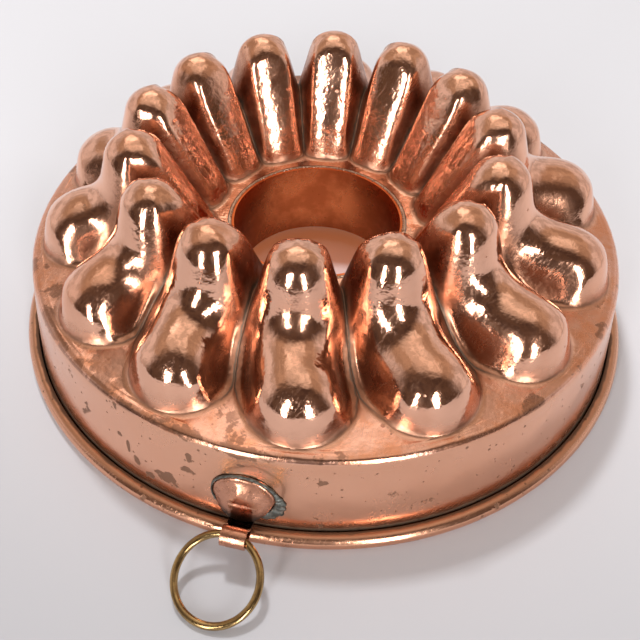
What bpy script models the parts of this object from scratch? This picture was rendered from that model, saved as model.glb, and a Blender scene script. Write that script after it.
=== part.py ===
"""A copper flan mould: fourteen raised lobes round a central tube, standing mouth down on its wired rim.

Metres, +Z up. The mould's own axis stands at AXIS_Y, so that the whole part, with its hanging ring
leaning on the table, is centred on the origin. The hanger is on the -Y side.
"""

import math

import bmesh
import bpy

# Sheet metal
SHEET = 0.0010
GAP = 0.0003

# Wall and rolled rim: the bead's centre, its outer radius and the wall's radii at two heights
BEAD_R = 0.1220
BEAD_Z = 0.0029
BEAD_RADIUS = 0.0030
WIRE_RADIUS = 0.0017
WALL_FOOT_R = BEAD_R - BEAD_RADIUS + SHEET
WALL_LEAN = 0.0035
WALL_TOP_R = WALL_FOOT_R - WALL_LEAN
WALL_TOP_Z = 0.0395
CURL_END = math.radians(118)
SKIRT_Z = 0.0345
LAP_TOP_Z = 0.0368

# Central tube, a little wider at its top, and the solder between it and the crown's collar
TUBE_TOP_R = 0.0338
TUBE_TAPER = 0.0010
TUBE_FOOT_R = TUBE_TOP_R - TUBE_TAPER
TUBE_FOOT_Z = 0.0090
SOLDER_WIDTH = 0.0009

# Crown: flat shoulder, creases between the lobes and collar round the tube
LOBES = 14
HALF_PITCH = math.pi / LOBES
FIRST_LOBE = math.radians(-82.4)
SHOULDER_Z = 0.0398
SHOULDER_ROUND = 0.0023
SHOULDER_EDGE_R = WALL_TOP_R - SHOULDER_ROUND
SHOULDER_MARGIN = 0.0019
BULB_END_R = SHOULDER_EDGE_R - SHOULDER_MARGIN
LOBE_FOOT_Z = 0.0415
COLLAR_Z = 0.0410
COLLAR_R = TUBE_TOP_R + SHEET + 2 * GAP + SOLDER_WIDTH
COLLAR_WIDTH = 0.0040
FINGER_END_R = COLLAR_R + COLLAR_WIDTH
CREASE_LEAD = 0.0032
CREASE_INNER_R = FINGER_END_R + CREASE_LEAD
KNOB_SHARE = 0.438
KNOB_R = COLLAR_R + KNOB_SHARE * (BULB_END_R - COLLAR_R)
CREASE_BEHIND = 0.0036
CREASE_PEAK_R = KNOB_R - CREASE_BEHIND
CREASE_PEAK_Z = 0.0625
CREASE_REACH = 0.0168
CREASE_OUTER_R = BULB_END_R - CREASE_REACH

# One lobe seen from the side: a round knob on a finger that slopes up from the collar and
# touches it, and a low bulb outside it
KNOB_Z = 0.0760
KNOB_RADIUS = 0.0110
KNOB_FAR = math.hypot(KNOB_R - FINGER_END_R, KNOB_Z - COLLAR_Z)
FINGER_SLOPE = math.atan2(KNOB_Z - COLLAR_Z, KNOB_R - FINGER_END_R) + math.asin(KNOB_RADIUS / KNOB_FAR)
KNOB_BACK_SLOPE = math.radians(74)
FINGER_NOSE = 0.0050
CORNER_RADIUS = 0.0120
BULB_SLOPE = math.radians(10)
BULB_RADIUS = 0.0200
BULB_LENGTH = 0.0203
BULB_R = BULB_END_R - BULB_LENGTH

# One lobe seen from its end: a round finger as wide as this share of its half width, the bulb's
# own dome, steep flanks and a soft edge between them
FINGER_SHARE = 0.86
BULB_DOME = 0.0150
DOME_FADE = 0.0140
DOME_EDGE = math.radians(70)
FLANK_SLOPE = 4.2
FLANK_EDGE = 0.0040

# Below the knob its round stem grows this much wider across the lobe than along it
STEM_SPREAD = 0.25

# The tube and the knobs stand off the wall's axis by this much in X, and the bulbs' ends do not
TUBE_SHIFT = -0.0035
SHIFT_FADE = (0.082, 0.104)

# Brazing between crown and wall: how wide it is, and how far its two sides lean
SEAM_WIDTH = 0.0021
SEAM_LEAN = 0.0008

# Hanger: strap folded round the ring, oval plate over the strap's tails
STRAP_SHEET = 0.0008
STRAP_WIDTH = 0.0085
STRAP_TAIL_Z = 0.0178
NECK_Z = 0.0091
LOOP_CLEARANCE = 0.0050
LOOP_R = BEAD_R + BEAD_RADIUS + LOOP_CLEARANCE
LOOP_RADIUS = 0.00305
WALL_BEND = 0.0027
WALL_GAP = 0.0004
PLATE_SHEET = 0.0008
PLATE_HALF_WIDTH = 0.0105
PLATE_HALF_HEIGHT = 0.0088
PLATE_Z = 0.0195
PLATE_BULGE = 0.0024

# Brass ring
RING_RADIUS = 0.0141
RING_WIRE = 0.0014
RING_SKEW = math.radians(-10)
RING_FLOOR_GAP = 0.0002

# The ring's wire is a slight arc inside the loop, and its middle lies this far from the loop's axis
HALF_SAGITTA = (RING_RADIUS - math.sqrt(RING_RADIUS**2 - (STRAP_WIDTH / 2) ** 2)) / 2
LOOP_Z = NECK_Z + LOOP_RADIUS
RING_CENTRE = RING_RADIUS - HALF_SAGITTA
RING_LEAN = math.asin((LOOP_Z - RING_WIRE - RING_FLOOR_GAP) / (RING_CENTRE + RING_RADIUS))

# How far the leaning, skewed ring reaches, and from it the place of the mould's axis
RING_OUT = math.cos(RING_LEAN) * math.cos(RING_SKEW)
RING_END = RING_RADIUS * math.hypot(RING_OUT, math.sin(RING_SKEW)) + RING_WIRE
RING_REACH = LOOP_R + RING_CENTRE * RING_OUT + RING_END
AXIS_Y = (RING_REACH - BEAD_R - BEAD_RADIUS) / 2

# Fineness of the meshes
CROWN_ROWS = 16
LOBE_COLUMNS = 4
ROW_SAMPLES = 800
SAMPLES = 60
CROWN_EDGE_STEPS = 6 * LOBES
COLLAR_STEPS = 4 * LOBES
TURNED_STEPS = 56


def clear_scene():
    for obj in list(bpy.data.objects):
        bpy.data.objects.remove(obj, do_unlink=True)


def metal(name, colour, roughness):
    material = bpy.data.materials.new(name)
    material.use_nodes = True
    shader = material.node_tree.nodes["Principled BSDF"]
    shader.inputs["Base Color"].default_value = (*colour, 1.0)
    shader.inputs["Roughness"].default_value = roughness
    shader.inputs["Metallic"].default_value = 1.0
    return material


def finish(name, bm, material, location=(0.0, AXIS_Y, 0.0), sharp_degrees=45):
    """Turns the bmesh into a named object that is shaded smooth."""
    mesh = bpy.data.meshes.new(name)
    bm.to_mesh(mesh)
    bm.free()
    mesh.shade_smooth()
    mesh.set_sharp_from_angle(angle=math.radians(sharp_degrees))
    mesh.materials.append(material)
    obj = bpy.data.objects.new(name, mesh)
    obj.location = location
    bpy.context.scene.collection.objects.link(obj)
    return obj


def smoothstep(start, end, value):
    t = min(max((value - start) / (end - start), 0.0), 1.0)
    return t * t * (3.0 - 2.0 * t)


def arc(centre, radius, start, end, steps):
    """Points along an arc in the (r, z) plane, both ends included."""
    angles = [start + (end - start) * i / steps for i in range(steps + 1)]
    return [(centre[0] + radius * math.cos(a), centre[1] + radius * math.sin(a)) for a in angles]


def turned(name, outline, material, steps=TURNED_STEPS, **placing):
    """Turns a closed (r, z) outline, listed anticlockwise, once round the Z axis."""
    bm = bmesh.new()
    rings = []
    for i in range(steps):
        angle = 2 * math.pi * i / steps
        rings.append([bm.verts.new((r * math.cos(angle), r * math.sin(angle), z)) for r, z in outline])
    for i, ring in enumerate(rings):
        following = rings[(i + 1) % steps]
        for j, vert in enumerate(ring):
            k = (j + 1) % len(ring)
            bm.faces.new((vert, following[j], following[k], ring[k]))
    bmesh.ops.recalc_face_normals(bm, faces=bm.faces)
    return finish(name, bm, material, **placing)


def wall_radius(z):
    """The wall's outer radius at a height."""
    slope = (WALL_TOP_R - WALL_FOOT_R) / (WALL_TOP_Z - BEAD_Z)
    return WALL_FOOT_R + slope * (z - BEAD_Z)


# The lobed crown

def ridge_corner():
    """The arc between the knob's steep back and the bulb: its two ends and its centre, as (r, z)."""
    back = (math.sin(KNOB_BACK_SLOPE), math.cos(KNOB_BACK_SLOPE))
    top = (math.sin(BULB_SLOPE), math.cos(BULB_SLOPE))
    leave = (KNOB_R + KNOB_RADIUS * back[0], KNOB_Z + KNOB_RADIUS * back[1])
    arrive = (BULB_END_R - BULB_RADIUS * (1.0 - top[0]), LOBE_FOOT_Z + BULB_RADIUS * top[1])
    back_reach = leave[0] * back[0] + leave[1] * back[1] + CORNER_RADIUS
    top_reach = arrive[0] * top[0] + arrive[1] * top[1] + CORNER_RADIUS
    turn = back[0] * top[1] - back[1] * top[0]
    centre_r = (back_reach * top[1] - top_reach * back[1]) / turn
    centre_z = (top_reach * back[0] - back_reach * top[0]) / turn
    high_r = centre_r - CORNER_RADIUS * back[0]
    low_r = centre_r - CORNER_RADIUS * top[0]
    return high_r, low_r, centre_r, centre_z


def bulb_height(r):
    """The bulb's own top: a gentle slope, then round down to the shoulder."""
    arrive_r = BULB_END_R - BULB_RADIUS * (1.0 - math.sin(BULB_SLOPE))
    if r < arrive_r:
        return LOBE_FOOT_Z + BULB_RADIUS * math.cos(BULB_SLOPE) + (arrive_r - r) * math.tan(BULB_SLOPE)
    along = min(r - BULB_END_R + BULB_RADIUS, BULB_RADIUS)
    return LOBE_FOOT_Z + math.sqrt(BULB_RADIUS**2 - along**2)


def ridge_height(r):
    """The top of a lobe along its middle: finger, round knob, steep back, inner corner and bulb."""
    offset = r - KNOB_R
    inner = -KNOB_RADIUS * math.sin(FINGER_SLOPE)
    outer = KNOB_RADIUS * math.sin(KNOB_BACK_SLOPE)
    high_r, low_r, centre_r, centre_z = ridge_corner()
    if offset < inner:
        return KNOB_Z + KNOB_RADIUS * math.cos(FINGER_SLOPE) - (inner - offset) * math.tan(FINGER_SLOPE)
    if offset < outer:
        return KNOB_Z + math.sqrt(KNOB_RADIUS**2 - offset**2)
    if r < high_r:
        return KNOB_Z + KNOB_RADIUS * math.cos(KNOB_BACK_SLOPE) - (offset - outer) * math.tan(KNOB_BACK_SLOPE)
    if r < low_r:
        return centre_z - math.sqrt(CORNER_RADIUS**2 - (r - centre_r) ** 2)
    return bulb_height(r)


def seat_height(r):
    """The sheet between the lobes: collar, then the crease over its peak, then the shoulder."""
    if r <= CREASE_PEAK_R:
        rise = smoothstep(CREASE_INNER_R, CREASE_PEAK_R, r)
        return COLLAR_Z + (CREASE_PEAK_Z - COLLAR_Z) * rise
    if r <= CREASE_OUTER_R:
        fall = smoothstep(CREASE_PEAK_R, CREASE_OUTER_R, r)
        return CREASE_PEAK_Z + (LOBE_FOOT_Z - CREASE_PEAK_Z) * fall
    out = (r - CREASE_OUTER_R) / (SHOULDER_EDGE_R - CREASE_OUTER_R)
    return LOBE_FOOT_Z + (SHOULDER_Z - LOBE_FOOT_Z) * out


def half_angle(r):
    """Half of the angle that a lobe takes up: all of its pitch, but round at both ends."""
    nose = max(FINGER_END_R + FINGER_NOSE - r, 0.0) / FINGER_NOSE
    if nose > 0.0:
        return HALF_PITCH * math.sqrt(max(1.0 - nose * nose, 0.0))
    tip = max(r - BULB_R, 0.0) / (BULB_END_R - BULB_R)
    if tip > 0.0:
        return HALF_PITCH * BULB_R / r * math.sqrt(max(1.0 - tip * tip, 0.0))
    return HALF_PITCH


def dome_drop(across, radius):
    """How far a round dome has fallen at a distance from its middle, straight beyond its edge."""
    edge = radius * math.sin(DOME_EDGE)
    round_part = radius - math.sqrt(radius**2 - min(across, edge) ** 2)
    return round_part + max(across - edge, 0.0) * math.tan(DOME_EDGE)


def dome_height(r, across, half_width):
    """A lobe's top: a round finger inside the knob, and outside it the knob's stem on the bulb."""
    if r <= KNOB_R:
        radius = min(KNOB_RADIUS, FINGER_SHARE * half_width)
        return ridge_height(r) - dome_drop(across, radius)
    fade = smoothstep(KNOB_R, KNOB_R + DOME_FADE, r)
    around = KNOB_R + math.hypot(r - KNOB_R, across * (1.0 - STEM_SPREAD * fade))
    stem = ridge_height(around) - bulb_height(around) if around < ridge_corner()[1] else 0.0
    return bulb_height(r) - dome_drop(across, BULB_DOME) * fade + stem


def lobe_height(r, across, half_width):
    """How high a lobe stands over its seat: the lower of its dome and its flank, with a soft edge."""
    dome = dome_height(r, across, half_width) - seat_height(r)
    flank = FLANK_SLOPE * min(half_width - across, BULB_END_R - r)
    overlap = max(FLANK_EDGE - abs(dome - flank), 0.0)
    return max(min(dome, flank) - overlap**2 / (4 * FLANK_EDGE), 0.0)


def evenly_spaced(points, steps):
    """The points that divide a fine polyline into this many pieces of equal length, both ends included."""
    length = [0.0]
    for start, end in zip(points, points[1:]):
        length.append(length[-1] + math.dist(start, end))
    wanted = [length[-1] * i / steps for i in range(steps + 1)]
    return [points[min(range(len(points)), key=lambda n: abs(length[n] - w))] for w in wanted]


def section(r, half_width):
    """Half of a lobe's cross-section, as (out, up) from its top to its foot."""
    samples = [half_width * i / SAMPLES for i in range(SAMPLES)]
    points = [(out, lobe_height(r, out, half_width)) for out in samples]
    return evenly_spaced(points + [(half_width, 0.0)], LOBE_COLUMNS)


def lobe_rows():
    """Radii of the rows across a lobe, evenly spaced along its ridge."""
    reach = BULB_END_R - FINGER_END_R
    radii = [FINGER_END_R + reach * i / ROW_SAMPLES for i in range(ROW_SAMPLES + 1)]
    ridge = [(r, ridge_height(r)) for r in radii]
    return [r for r, _ in evenly_spaced(ridge, CROWN_ROWS - 1)]


def polar(bm, r, angle, z):
    """A new vertex of the crown, moved sideways with the tube as far as its radius asks."""
    shift = TUBE_SHIFT * (1.0 - smoothstep(*SHIFT_FADE, r))
    return bm.verts.new((r * math.cos(angle) + shift, r * math.sin(angle), z))


def zip_rings(bm, first, second):
    """Joins two closed rings of vertices, which may differ in number, with triangles."""
    i = j = 0
    while i < len(first) or j < len(second):
        near, far = first[i % len(first)], second[j % len(second)]
        if j == len(second) or (i < len(first) and (i + 1) * len(second) <= (j + 1) * len(first)):
            i += 1
            bm.faces.new((near, first[i % len(first)], far))
        else:
            j += 1
            bm.faces.new((near, second[j % len(second)], far))


def skin(bm, near_row, far_row):
    """Joins two rows of equal length with quads, or triangles where the points of a row coincide."""
    for a, b, c, d in zip(near_row, near_row[1:], far_row[1:], far_row):
        corners = list(dict.fromkeys((a, b, c, d)))
        if len(corners) > 2:
            bm.faces.new(corners)


def lobed_sheet():
    """The crown's outer skin as an open sheet: lobes, creases, shoulder and collar."""
    bm = bmesh.new()
    rows = lobe_rows()
    last = len(rows) - 1
    touching = [abs(half_angle(r) - HALF_PITCH) < 1e-9 for r in rows]
    middles = [FIRST_LOBE + 2 * k * HALF_PITCH for k in range(LOBES)]
    valley = [[polar(bm, r, middle + HALF_PITCH, seat_height(r)) for r in rows] for middle in middles]
    lobes = []
    for k, middle in enumerate(middles):
        lobe = []
        for i, r in enumerate(rows):
            if i in (0, last):
                pole = polar(bm, r, middle, seat_height(r))
                lobe.append([pole] * (2 * LOBE_COLUMNS + 1))
                continue
            width = half_angle(r) * r
            half = section(r, width)
            across = [(-out, up) for out, up in reversed(half[1:])] + half
            row = [polar(bm, r, middle + out / r, seat_height(r) + up) for out, up in across[1:-1]]
            if touching[i]:
                lobe.append([valley[k - 1][i], *row, valley[k][i]])
            else:
                edges = [polar(bm, r, middle + side * width / r, seat_height(r)) for side in (-1, 1)]
                lobe.append([edges[0], *row, edges[1]])
        lobes.append(lobe)
    for k, lobe in enumerate(lobes):
        following = lobes[(k + 1) % LOBES]
        for i in range(last):
            skin(bm, lobe[i], lobe[i + 1])
            near = [lobe[i][-1], valley[k][i], following[i][0]]
            far = [lobe[i + 1][-1], valley[k][i + 1], following[i + 1][0]]
            skin(bm, near, far)
    return bm, lobes, valley


def edge_ring(bm, r, z, steps):
    return [polar(bm, r, FIRST_LOBE + 2 * math.pi * i / steps, z) for i in range(steps)]


def add_crown(material):
    bm, lobes, valley = lobed_sheet()
    tips = [vert for k in range(LOBES) for vert in (lobes[k][-1][0], valley[k][-1])]
    noses = [vert for k in range(LOBES) for vert in (lobes[k][0][0], valley[k][0])]
    corner = SHOULDER_EDGE_R + 0.0005
    outline = [
        (SHOULDER_EDGE_R, SHOULDER_Z),
        (corner + 0.0013, SHOULDER_Z - 0.0009),
        (wall_radius(SHOULDER_Z - 0.0027), SHOULDER_Z - 0.0027),
        (wall_radius(SKIRT_Z), SKIRT_Z),
    ]
    rings = [tips] + [edge_ring(bm, r, z, CROWN_EDGE_STEPS) for r, z in outline]
    for near, far in zip(rings, rings[1:]):
        zip_rings(bm, near, far)
    zip_rings(bm, edge_ring(bm, COLLAR_R, COLLAR_Z, COLLAR_STEPS), noses)
    bmesh.ops.recalc_face_normals(bm, faces=bm.faces)
    top = max(bm.faces, key=lambda face: face.calc_center_median().z)
    if top.normal.z < 0:
        bmesh.ops.reverse_faces(bm, faces=bm.faces)
    crown = finish("crown", bm, material)
    thickness = crown.modifiers.new("sheet", "SOLIDIFY")
    thickness.thickness = SHEET
    thickness.offset = -1.0
    return crown


# Wall, rim, tube and their seams

def add_side_band(material):
    """The wall, stepped in under the crown's skirt, with its foot curled round the rim wire."""
    inside = BEAD_RADIUS - SHEET
    bead = (BEAD_R, BEAD_Z)
    flat = math.asin(-BEAD_Z / BEAD_RADIUS)
    step = SHEET + GAP
    outline = [
        (wall_radius(LAP_TOP_Z) - step - SHEET, LAP_TOP_Z),
        (wall_radius(SKIRT_Z) - step - SHEET, SKIRT_Z - 0.0006),
        (wall_radius(SKIRT_Z) - SHEET, SKIRT_Z - 0.0013),
    ]
    outline += arc(bead, BEAD_RADIUS, math.pi, math.pi - flat, 2)
    outline += arc(bead, BEAD_RADIUS, 2 * math.pi + flat, 2 * math.pi + CURL_END, 6)
    outline += arc(bead, inside, 2 * math.pi + CURL_END, math.pi, 9)
    outline += [
        (wall_radius(SKIRT_Z), SKIRT_Z - 0.0005),
        (wall_radius(SKIRT_Z) - step, SKIRT_Z - 0.0002),
        (wall_radius(LAP_TOP_Z) - step, LAP_TOP_Z),
    ]
    return turned("side_band", outline, material)


def add_rim_wire(material):
    outline = arc((BEAD_R, BEAD_Z), WIRE_RADIUS, 0.0, 2 * math.pi, 6)[:-1]
    return turned("rim_wire", outline, material)


def add_crown_seam(material):
    """Brazing in the corner over the wall's top edge, under the crown."""
    outer = wall_radius(LAP_TOP_Z) - SHEET - 3 * GAP
    inner = outer - SEAM_WIDTH
    foot = LAP_TOP_Z + GAP
    top = SHOULDER_Z - SHEET - 2 * GAP
    outline = [(inner, top), (inner + SEAM_LEAN, foot), (outer, foot), (outer - SEAM_LEAN, top)]
    return turned("crown_seam", outline, material)


def add_central_tube(material):
    outline = [
        (TUBE_FOOT_R, TUBE_FOOT_Z),
        (TUBE_FOOT_R + SHEET, TUBE_FOOT_Z),
        (TUBE_TOP_R + SHEET, COLLAR_Z),
        (TUBE_TOP_R, COLLAR_Z),
    ]
    return turned("central_tube", outline, material, location=(TUBE_SHIFT, AXIS_Y, 0.0))


def add_tube_seam(material):
    inner = TUBE_TOP_R + SHEET + GAP
    outer = COLLAR_R - GAP
    outline = [(inner, COLLAR_Z - 0.0012), (outer, COLLAR_Z - 0.0012), (outer, COLLAR_Z), (inner, COLLAR_Z)]
    return turned("tube_seam", outline, material, location=(TUBE_SHIFT, AXIS_Y, 0.0))


# Hanger

def wall_angle():
    """How far the wall leans in from upright."""
    return math.atan2(WALL_FOOT_R - WALL_TOP_R, WALL_TOP_Z - BEAD_Z)


def strap_path():
    """The strap's middle line in the (r, z) plane: down the wall, out, round the loop and back again."""
    lean = wall_angle()
    bend_z = NECK_Z + WALL_BEND
    tail_r = wall_radius(bend_z) + WALL_GAP + STRAP_SHEET / 2
    bend = (tail_r + WALL_BEND, bend_z)
    loop = (LOOP_R, NECK_Z + LOOP_RADIUS)
    layer = STRAP_SHEET + GAP
    leave = math.radians(160)
    back_z = NECK_Z + layer
    leave_point = arc(loop, LOOP_RADIUS, leave, leave, 1)[0]
    back_radius = (leave_point[1] - back_z) / (1.0 - math.sin(leave))
    back = (leave_point[0] + back_radius * math.cos(leave), leave_point[1] + back_radius * math.sin(leave))
    path = [(bend[0] - WALL_BEND - (STRAP_TAIL_Z - bend_z) * math.tan(lean), STRAP_TAIL_Z)]
    path += arc(bend, WALL_BEND, math.pi + lean, 1.5 * math.pi, 4)
    path += arc(loop, LOOP_RADIUS, -math.pi / 2, leave, 14)
    path += arc(back, back_radius, leave - math.pi, -math.pi / 2, 3)[1:]
    path += arc(bend, WALL_BEND - layer, 1.5 * math.pi, math.pi + lean, 3)
    path += [(path[-1][0] - (STRAP_TAIL_Z - path[-1][1]) * math.tan(lean), STRAP_TAIL_Z)]
    return path


def ribbon(path, thickness):
    """The closed outline of a strip of sheet that follows the path."""
    left, right = [], []
    for i, (r, z) in enumerate(path):
        before = path[max(i - 1, 0)]
        after = path[min(i + 1, len(path) - 1)]
        dr, dz = after[0] - before[0], after[1] - before[1]
        size = math.hypot(dr, dz)
        out = (dz / size * thickness / 2, -dr / size * thickness / 2)
        right.append((r + out[0], z + out[1]))
        left.append((r - out[0], z - out[1]))
    return right, left


def add_hanger_strap(material):
    """The strap has its width along X, and its outline's r runs along -Y."""
    right, left = ribbon(strap_path(), STRAP_SHEET)
    bm = bmesh.new()
    sides = []
    for x in (-STRAP_WIDTH / 2, STRAP_WIDTH / 2):
        sides.append([[bm.verts.new((x, -r, z)) for r, z in line] for line in (right, left)])
    for (right_row, left_row) in sides:
        skin(bm, right_row, left_row)
    for row in (0, 1):
        skin(bm, sides[0][row], sides[1][row])
    for end in (0, -1):
        (a, b), (c, d) = [(side[0][end], side[1][end]) for side in sides]
        bm.faces.new((a, b, d, c))
    bmesh.ops.recalc_face_normals(bm, faces=bm.faces)
    return finish("hanger_strap", bm, material)


def on_wall(along, z, out):
    """A point on the wall by the hanger: arc length from its middle, height, and distance off the wall."""
    radius = wall_radius(z)
    angle = along / radius - math.pi / 2
    return ((radius + out) * math.cos(angle), (radius + out) * math.sin(angle), z)


def add_hanger_plate(material):
    """The oval plate, bulged over the strap's tails and open at its lower edge."""
    bm = bmesh.new()
    rings, steps = 5, 28

    def place(share, angle):
        along = PLATE_HALF_WIDTH * share * math.cos(angle)
        z = PLATE_Z + PLATE_HALF_HEIGHT * share * math.sin(angle)
        above = max(z - STRAP_TAIL_Z + 0.0035, 0.0) / (PLATE_Z + PLATE_HALF_HEIGHT - STRAP_TAIL_Z + 0.0035)
        fade = math.hypot(along / PLATE_HALF_WIDTH, above)
        bulge = PLATE_BULGE * (1.0 - smoothstep(0.44, 1.02, fade))
        return bm.verts.new(on_wall(along, z, WALL_GAP + bulge))

    middle = place(0.0, 0.0)
    grid = [[place((n + 1) / rings, 2 * math.pi * i / steps) for i in range(steps)] for n in range(rings)]
    for i in range(steps):
        bm.faces.new((middle, grid[0][i], grid[0][(i + 1) % steps]))
    for near, far in zip(grid, grid[1:]):
        skin(bm, near + near[:1], far + far[:1])
    bmesh.ops.recalc_face_normals(bm, faces=bm.faces)
    if middle.link_faces[0].normal.y > 0:
        bmesh.ops.reverse_faces(bm, faces=bm.faces)
    plate = finish("hanger_plate", bm, material)
    thickness = plate.modifiers.new("sheet", "SOLIDIFY")
    thickness.thickness = PLATE_SHEET
    thickness.offset = 1.0
    return plate


def add_hanger_solder(material):
    """Lead run along the plate's edge, open over the strap and thick at the lower right."""
    bm = bmesh.new()
    steps = 30
    start, end = math.radians(-48), math.radians(238)
    rows = []
    for i in range(steps + 1):
        angle = start + (end - start) * i / steps
        blob = 1.0 - smoothstep(math.radians(-30), math.radians(55), angle)
        width = 0.0012 + 0.0026 * blob
        row = []
        for reach, out in ((0.0, 0.0), (1.0, 0.0), (0.75, 0.6), (0.25, 1.0), (0.0, 0.8)):
            along = (PLATE_HALF_WIDTH + GAP + width * reach) * math.cos(angle)
            z = PLATE_Z + (PLATE_HALF_HEIGHT + GAP + width * reach) * math.sin(angle)
            row.append(bm.verts.new(on_wall(along, z, GAP + 0.0009 * out)))
        rows.append(row)
    for near, far in zip(rows, rows[1:]):
        skin(bm, near + near[:1], far + far[:1])
    bm.faces.new(rows[0])
    bm.faces.new(rows[-1])
    bmesh.ops.recalc_face_normals(bm, faces=bm.faces)
    return finish("hanger_solder", bm, material)


def add_brass_ring(material):
    """The ring's origin is on the loop's axis, which it swings about."""
    outline = arc((RING_RADIUS, 0.0), RING_WIRE, 0.0, 2 * math.pi, 10)[:-1]
    ring = turned("brass_ring", outline, material, steps=40, location=(0.0, AXIS_Y - LOOP_R, LOOP_Z))
    for vert in ring.data.vertices:
        vert.co.y -= RING_CENTRE
    ring.rotation_euler = (RING_LEAN, 0.0, RING_SKEW)
    return ring


def main():
    clear_scene()
    copper = metal("polished_copper", (0.80, 0.42, 0.28), 0.12)
    dull_copper = metal("dull_copper", (0.62, 0.28, 0.16), 0.35)
    iron = metal("iron_wire", (0.25, 0.23, 0.21), 0.6)
    braze = metal("brazing", (0.70, 0.50, 0.28), 0.4)
    lead = metal("lead_solder", (0.36, 0.37, 0.37), 0.5)
    brass = metal("brass", (0.62, 0.47, 0.22), 0.25)
    add_crown(copper)
    add_side_band(copper)
    add_rim_wire(iron)
    add_crown_seam(braze)
    add_central_tube(dull_copper)
    add_tube_seam(lead)
    add_hanger_strap(copper)
    add_hanger_plate(copper)
    add_hanger_solder(lead)
    add_brass_ring(brass)


main()
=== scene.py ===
import math

import bmesh
import bpy
import numpy as np
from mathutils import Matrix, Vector, noise


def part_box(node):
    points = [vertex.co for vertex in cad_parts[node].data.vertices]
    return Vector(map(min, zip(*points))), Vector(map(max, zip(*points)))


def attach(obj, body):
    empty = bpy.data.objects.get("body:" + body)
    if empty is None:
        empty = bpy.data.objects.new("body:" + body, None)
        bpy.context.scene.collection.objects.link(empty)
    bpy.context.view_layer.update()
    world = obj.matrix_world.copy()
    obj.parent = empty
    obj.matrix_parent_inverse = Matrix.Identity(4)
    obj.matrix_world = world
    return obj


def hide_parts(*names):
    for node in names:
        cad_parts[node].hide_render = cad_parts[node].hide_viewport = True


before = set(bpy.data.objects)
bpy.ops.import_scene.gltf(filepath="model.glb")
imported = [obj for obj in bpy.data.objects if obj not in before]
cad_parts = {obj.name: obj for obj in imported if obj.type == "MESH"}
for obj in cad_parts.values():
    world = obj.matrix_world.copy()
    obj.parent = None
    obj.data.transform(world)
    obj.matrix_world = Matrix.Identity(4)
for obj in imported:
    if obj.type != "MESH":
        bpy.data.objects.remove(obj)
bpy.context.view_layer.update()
wireLow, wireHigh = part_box("rim_wire")
axisY = (wireLow.y + wireHigh.y) / 2  # the mould's own axis stands at (0, axisY)
print("frame loaded, mould axis at y", round(axisY, 5))

# Helpers for shapes


def ease(start, end, value):
    share = np.clip((value - start) / (end - start), 0.0, 1.0)
    return share * share * (3.0 - 2.0 * share)


def arcPoints(centre, radius, start, end, steps):
    angles = np.linspace(start, end, steps + 1)
    return [(centre[0] + radius * math.cos(a), centre[1] + radius * math.sin(a)) for a in angles]


def roundNoise(angle, spread, third):
    # smooth noise that meets itself again after a full turn
    return noise.noise(Vector((math.cos(angle) * spread, math.sin(angle) * spread, third)))


def linkObject(name, data):
    obj = bpy.data.objects.new(name, data)
    bpy.context.scene.collection.objects.link(obj)
    return obj


def meshObject(name, points, faces, materials, sharpAngle=None):
    mesh = bpy.data.meshes.new(name)
    mesh.from_pydata([tuple(p) for p in points], [], faces)
    mesh.validate()
    bm = bmesh.new()
    bm.from_mesh(mesh)
    bmesh.ops.recalc_face_normals(bm, faces=bm.faces)
    bm.to_mesh(mesh)
    bm.free()
    mesh.shade_smooth()
    if sharpAngle is not None:
        mesh.set_sharp_from_angle(angle=math.radians(sharpAngle))
    for material in materials:
        mesh.materials.append(material)
    return linkObject(name, mesh)


def placeOn(obj, body, slotName, *nodes):
    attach(obj, body)
    if nodes:
        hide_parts(*nodes)


def gridFaces(rowCount, columnCount, closedRows=False, closedColumns=False):
    faces = []
    for i in range(rowCount if closedRows else rowCount - 1):
        row, nextRow = i * columnCount, (i + 1) % rowCount * columnCount
        for j in range(columnCount if closedColumns else columnCount - 1):
            k = (j + 1) % columnCount
            faces.append((row + j, row + k, nextRow + k, nextRow + j))
    return faces


# Helpers for node trees

floatKind, vectorKind, wholeKind = "NodeSocketFloat", "NodeSocketVector", "NodeSocketInt"
numberOperations = ("LENGTH", "DISTANCE", "DOT_PRODUCT")


def addNode(tree, kind, settings=None, inputs=None):
    made = tree.nodes.new(kind)
    for key, value in (settings or {}).items():
        setattr(made, key, value)
    for key, value in (inputs or {}).items():
        if isinstance(value, bpy.types.NodeSocket):
            tree.links.new(value, made.inputs[key])
        else:
            made.inputs[key].default_value = value
    return made


def maths(tree, operation, *values):
    return addNode(tree, "ShaderNodeMath", {"operation": operation}, dict(enumerate(values))).outputs[0]


def vectorMaths(tree, operation, *values):
    made = addNode(tree, "ShaderNodeVectorMath", {"operation": operation}, dict(enumerate(values)))
    return made.outputs["Value" if operation in numberOperations else "Vector"]


def addShare(tree, base, mask, share):
    return maths(tree, "MULTIPLY_ADD", mask, share, base)


def remap(tree, value, low, high, toLow=0.0, toHigh=1.0, smooth=True):
    kind = "SMOOTHSTEP" if smooth else "LINEAR"
    limits = {"Value": value, "From Min": low, "From Max": high, "To Min": toLow, "To Max": toHigh}
    return addNode(tree, "ShaderNodeMapRange", {"interpolation_type": kind}, limits).outputs["Result"]


def separate(tree, vector):
    return addNode(tree, "ShaderNodeSeparateXYZ", None, {0: vector}).outputs


def combine(tree, **parts):
    return addNode(tree, "ShaderNodeCombineXYZ", None, parts).outputs[0]


def softNoise(tree, place, **inputs):
    return addNode(tree, "ShaderNodeTexNoise", None, {"Vector": place, **inputs}).outputs["Fac"]


def mixColours(tree, factor, first, second):
    return addNode(tree, "ShaderNodeMix", {"data_type": "RGBA"}, {0: factor, 6: first, 7: second}).outputs[2]


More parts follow.
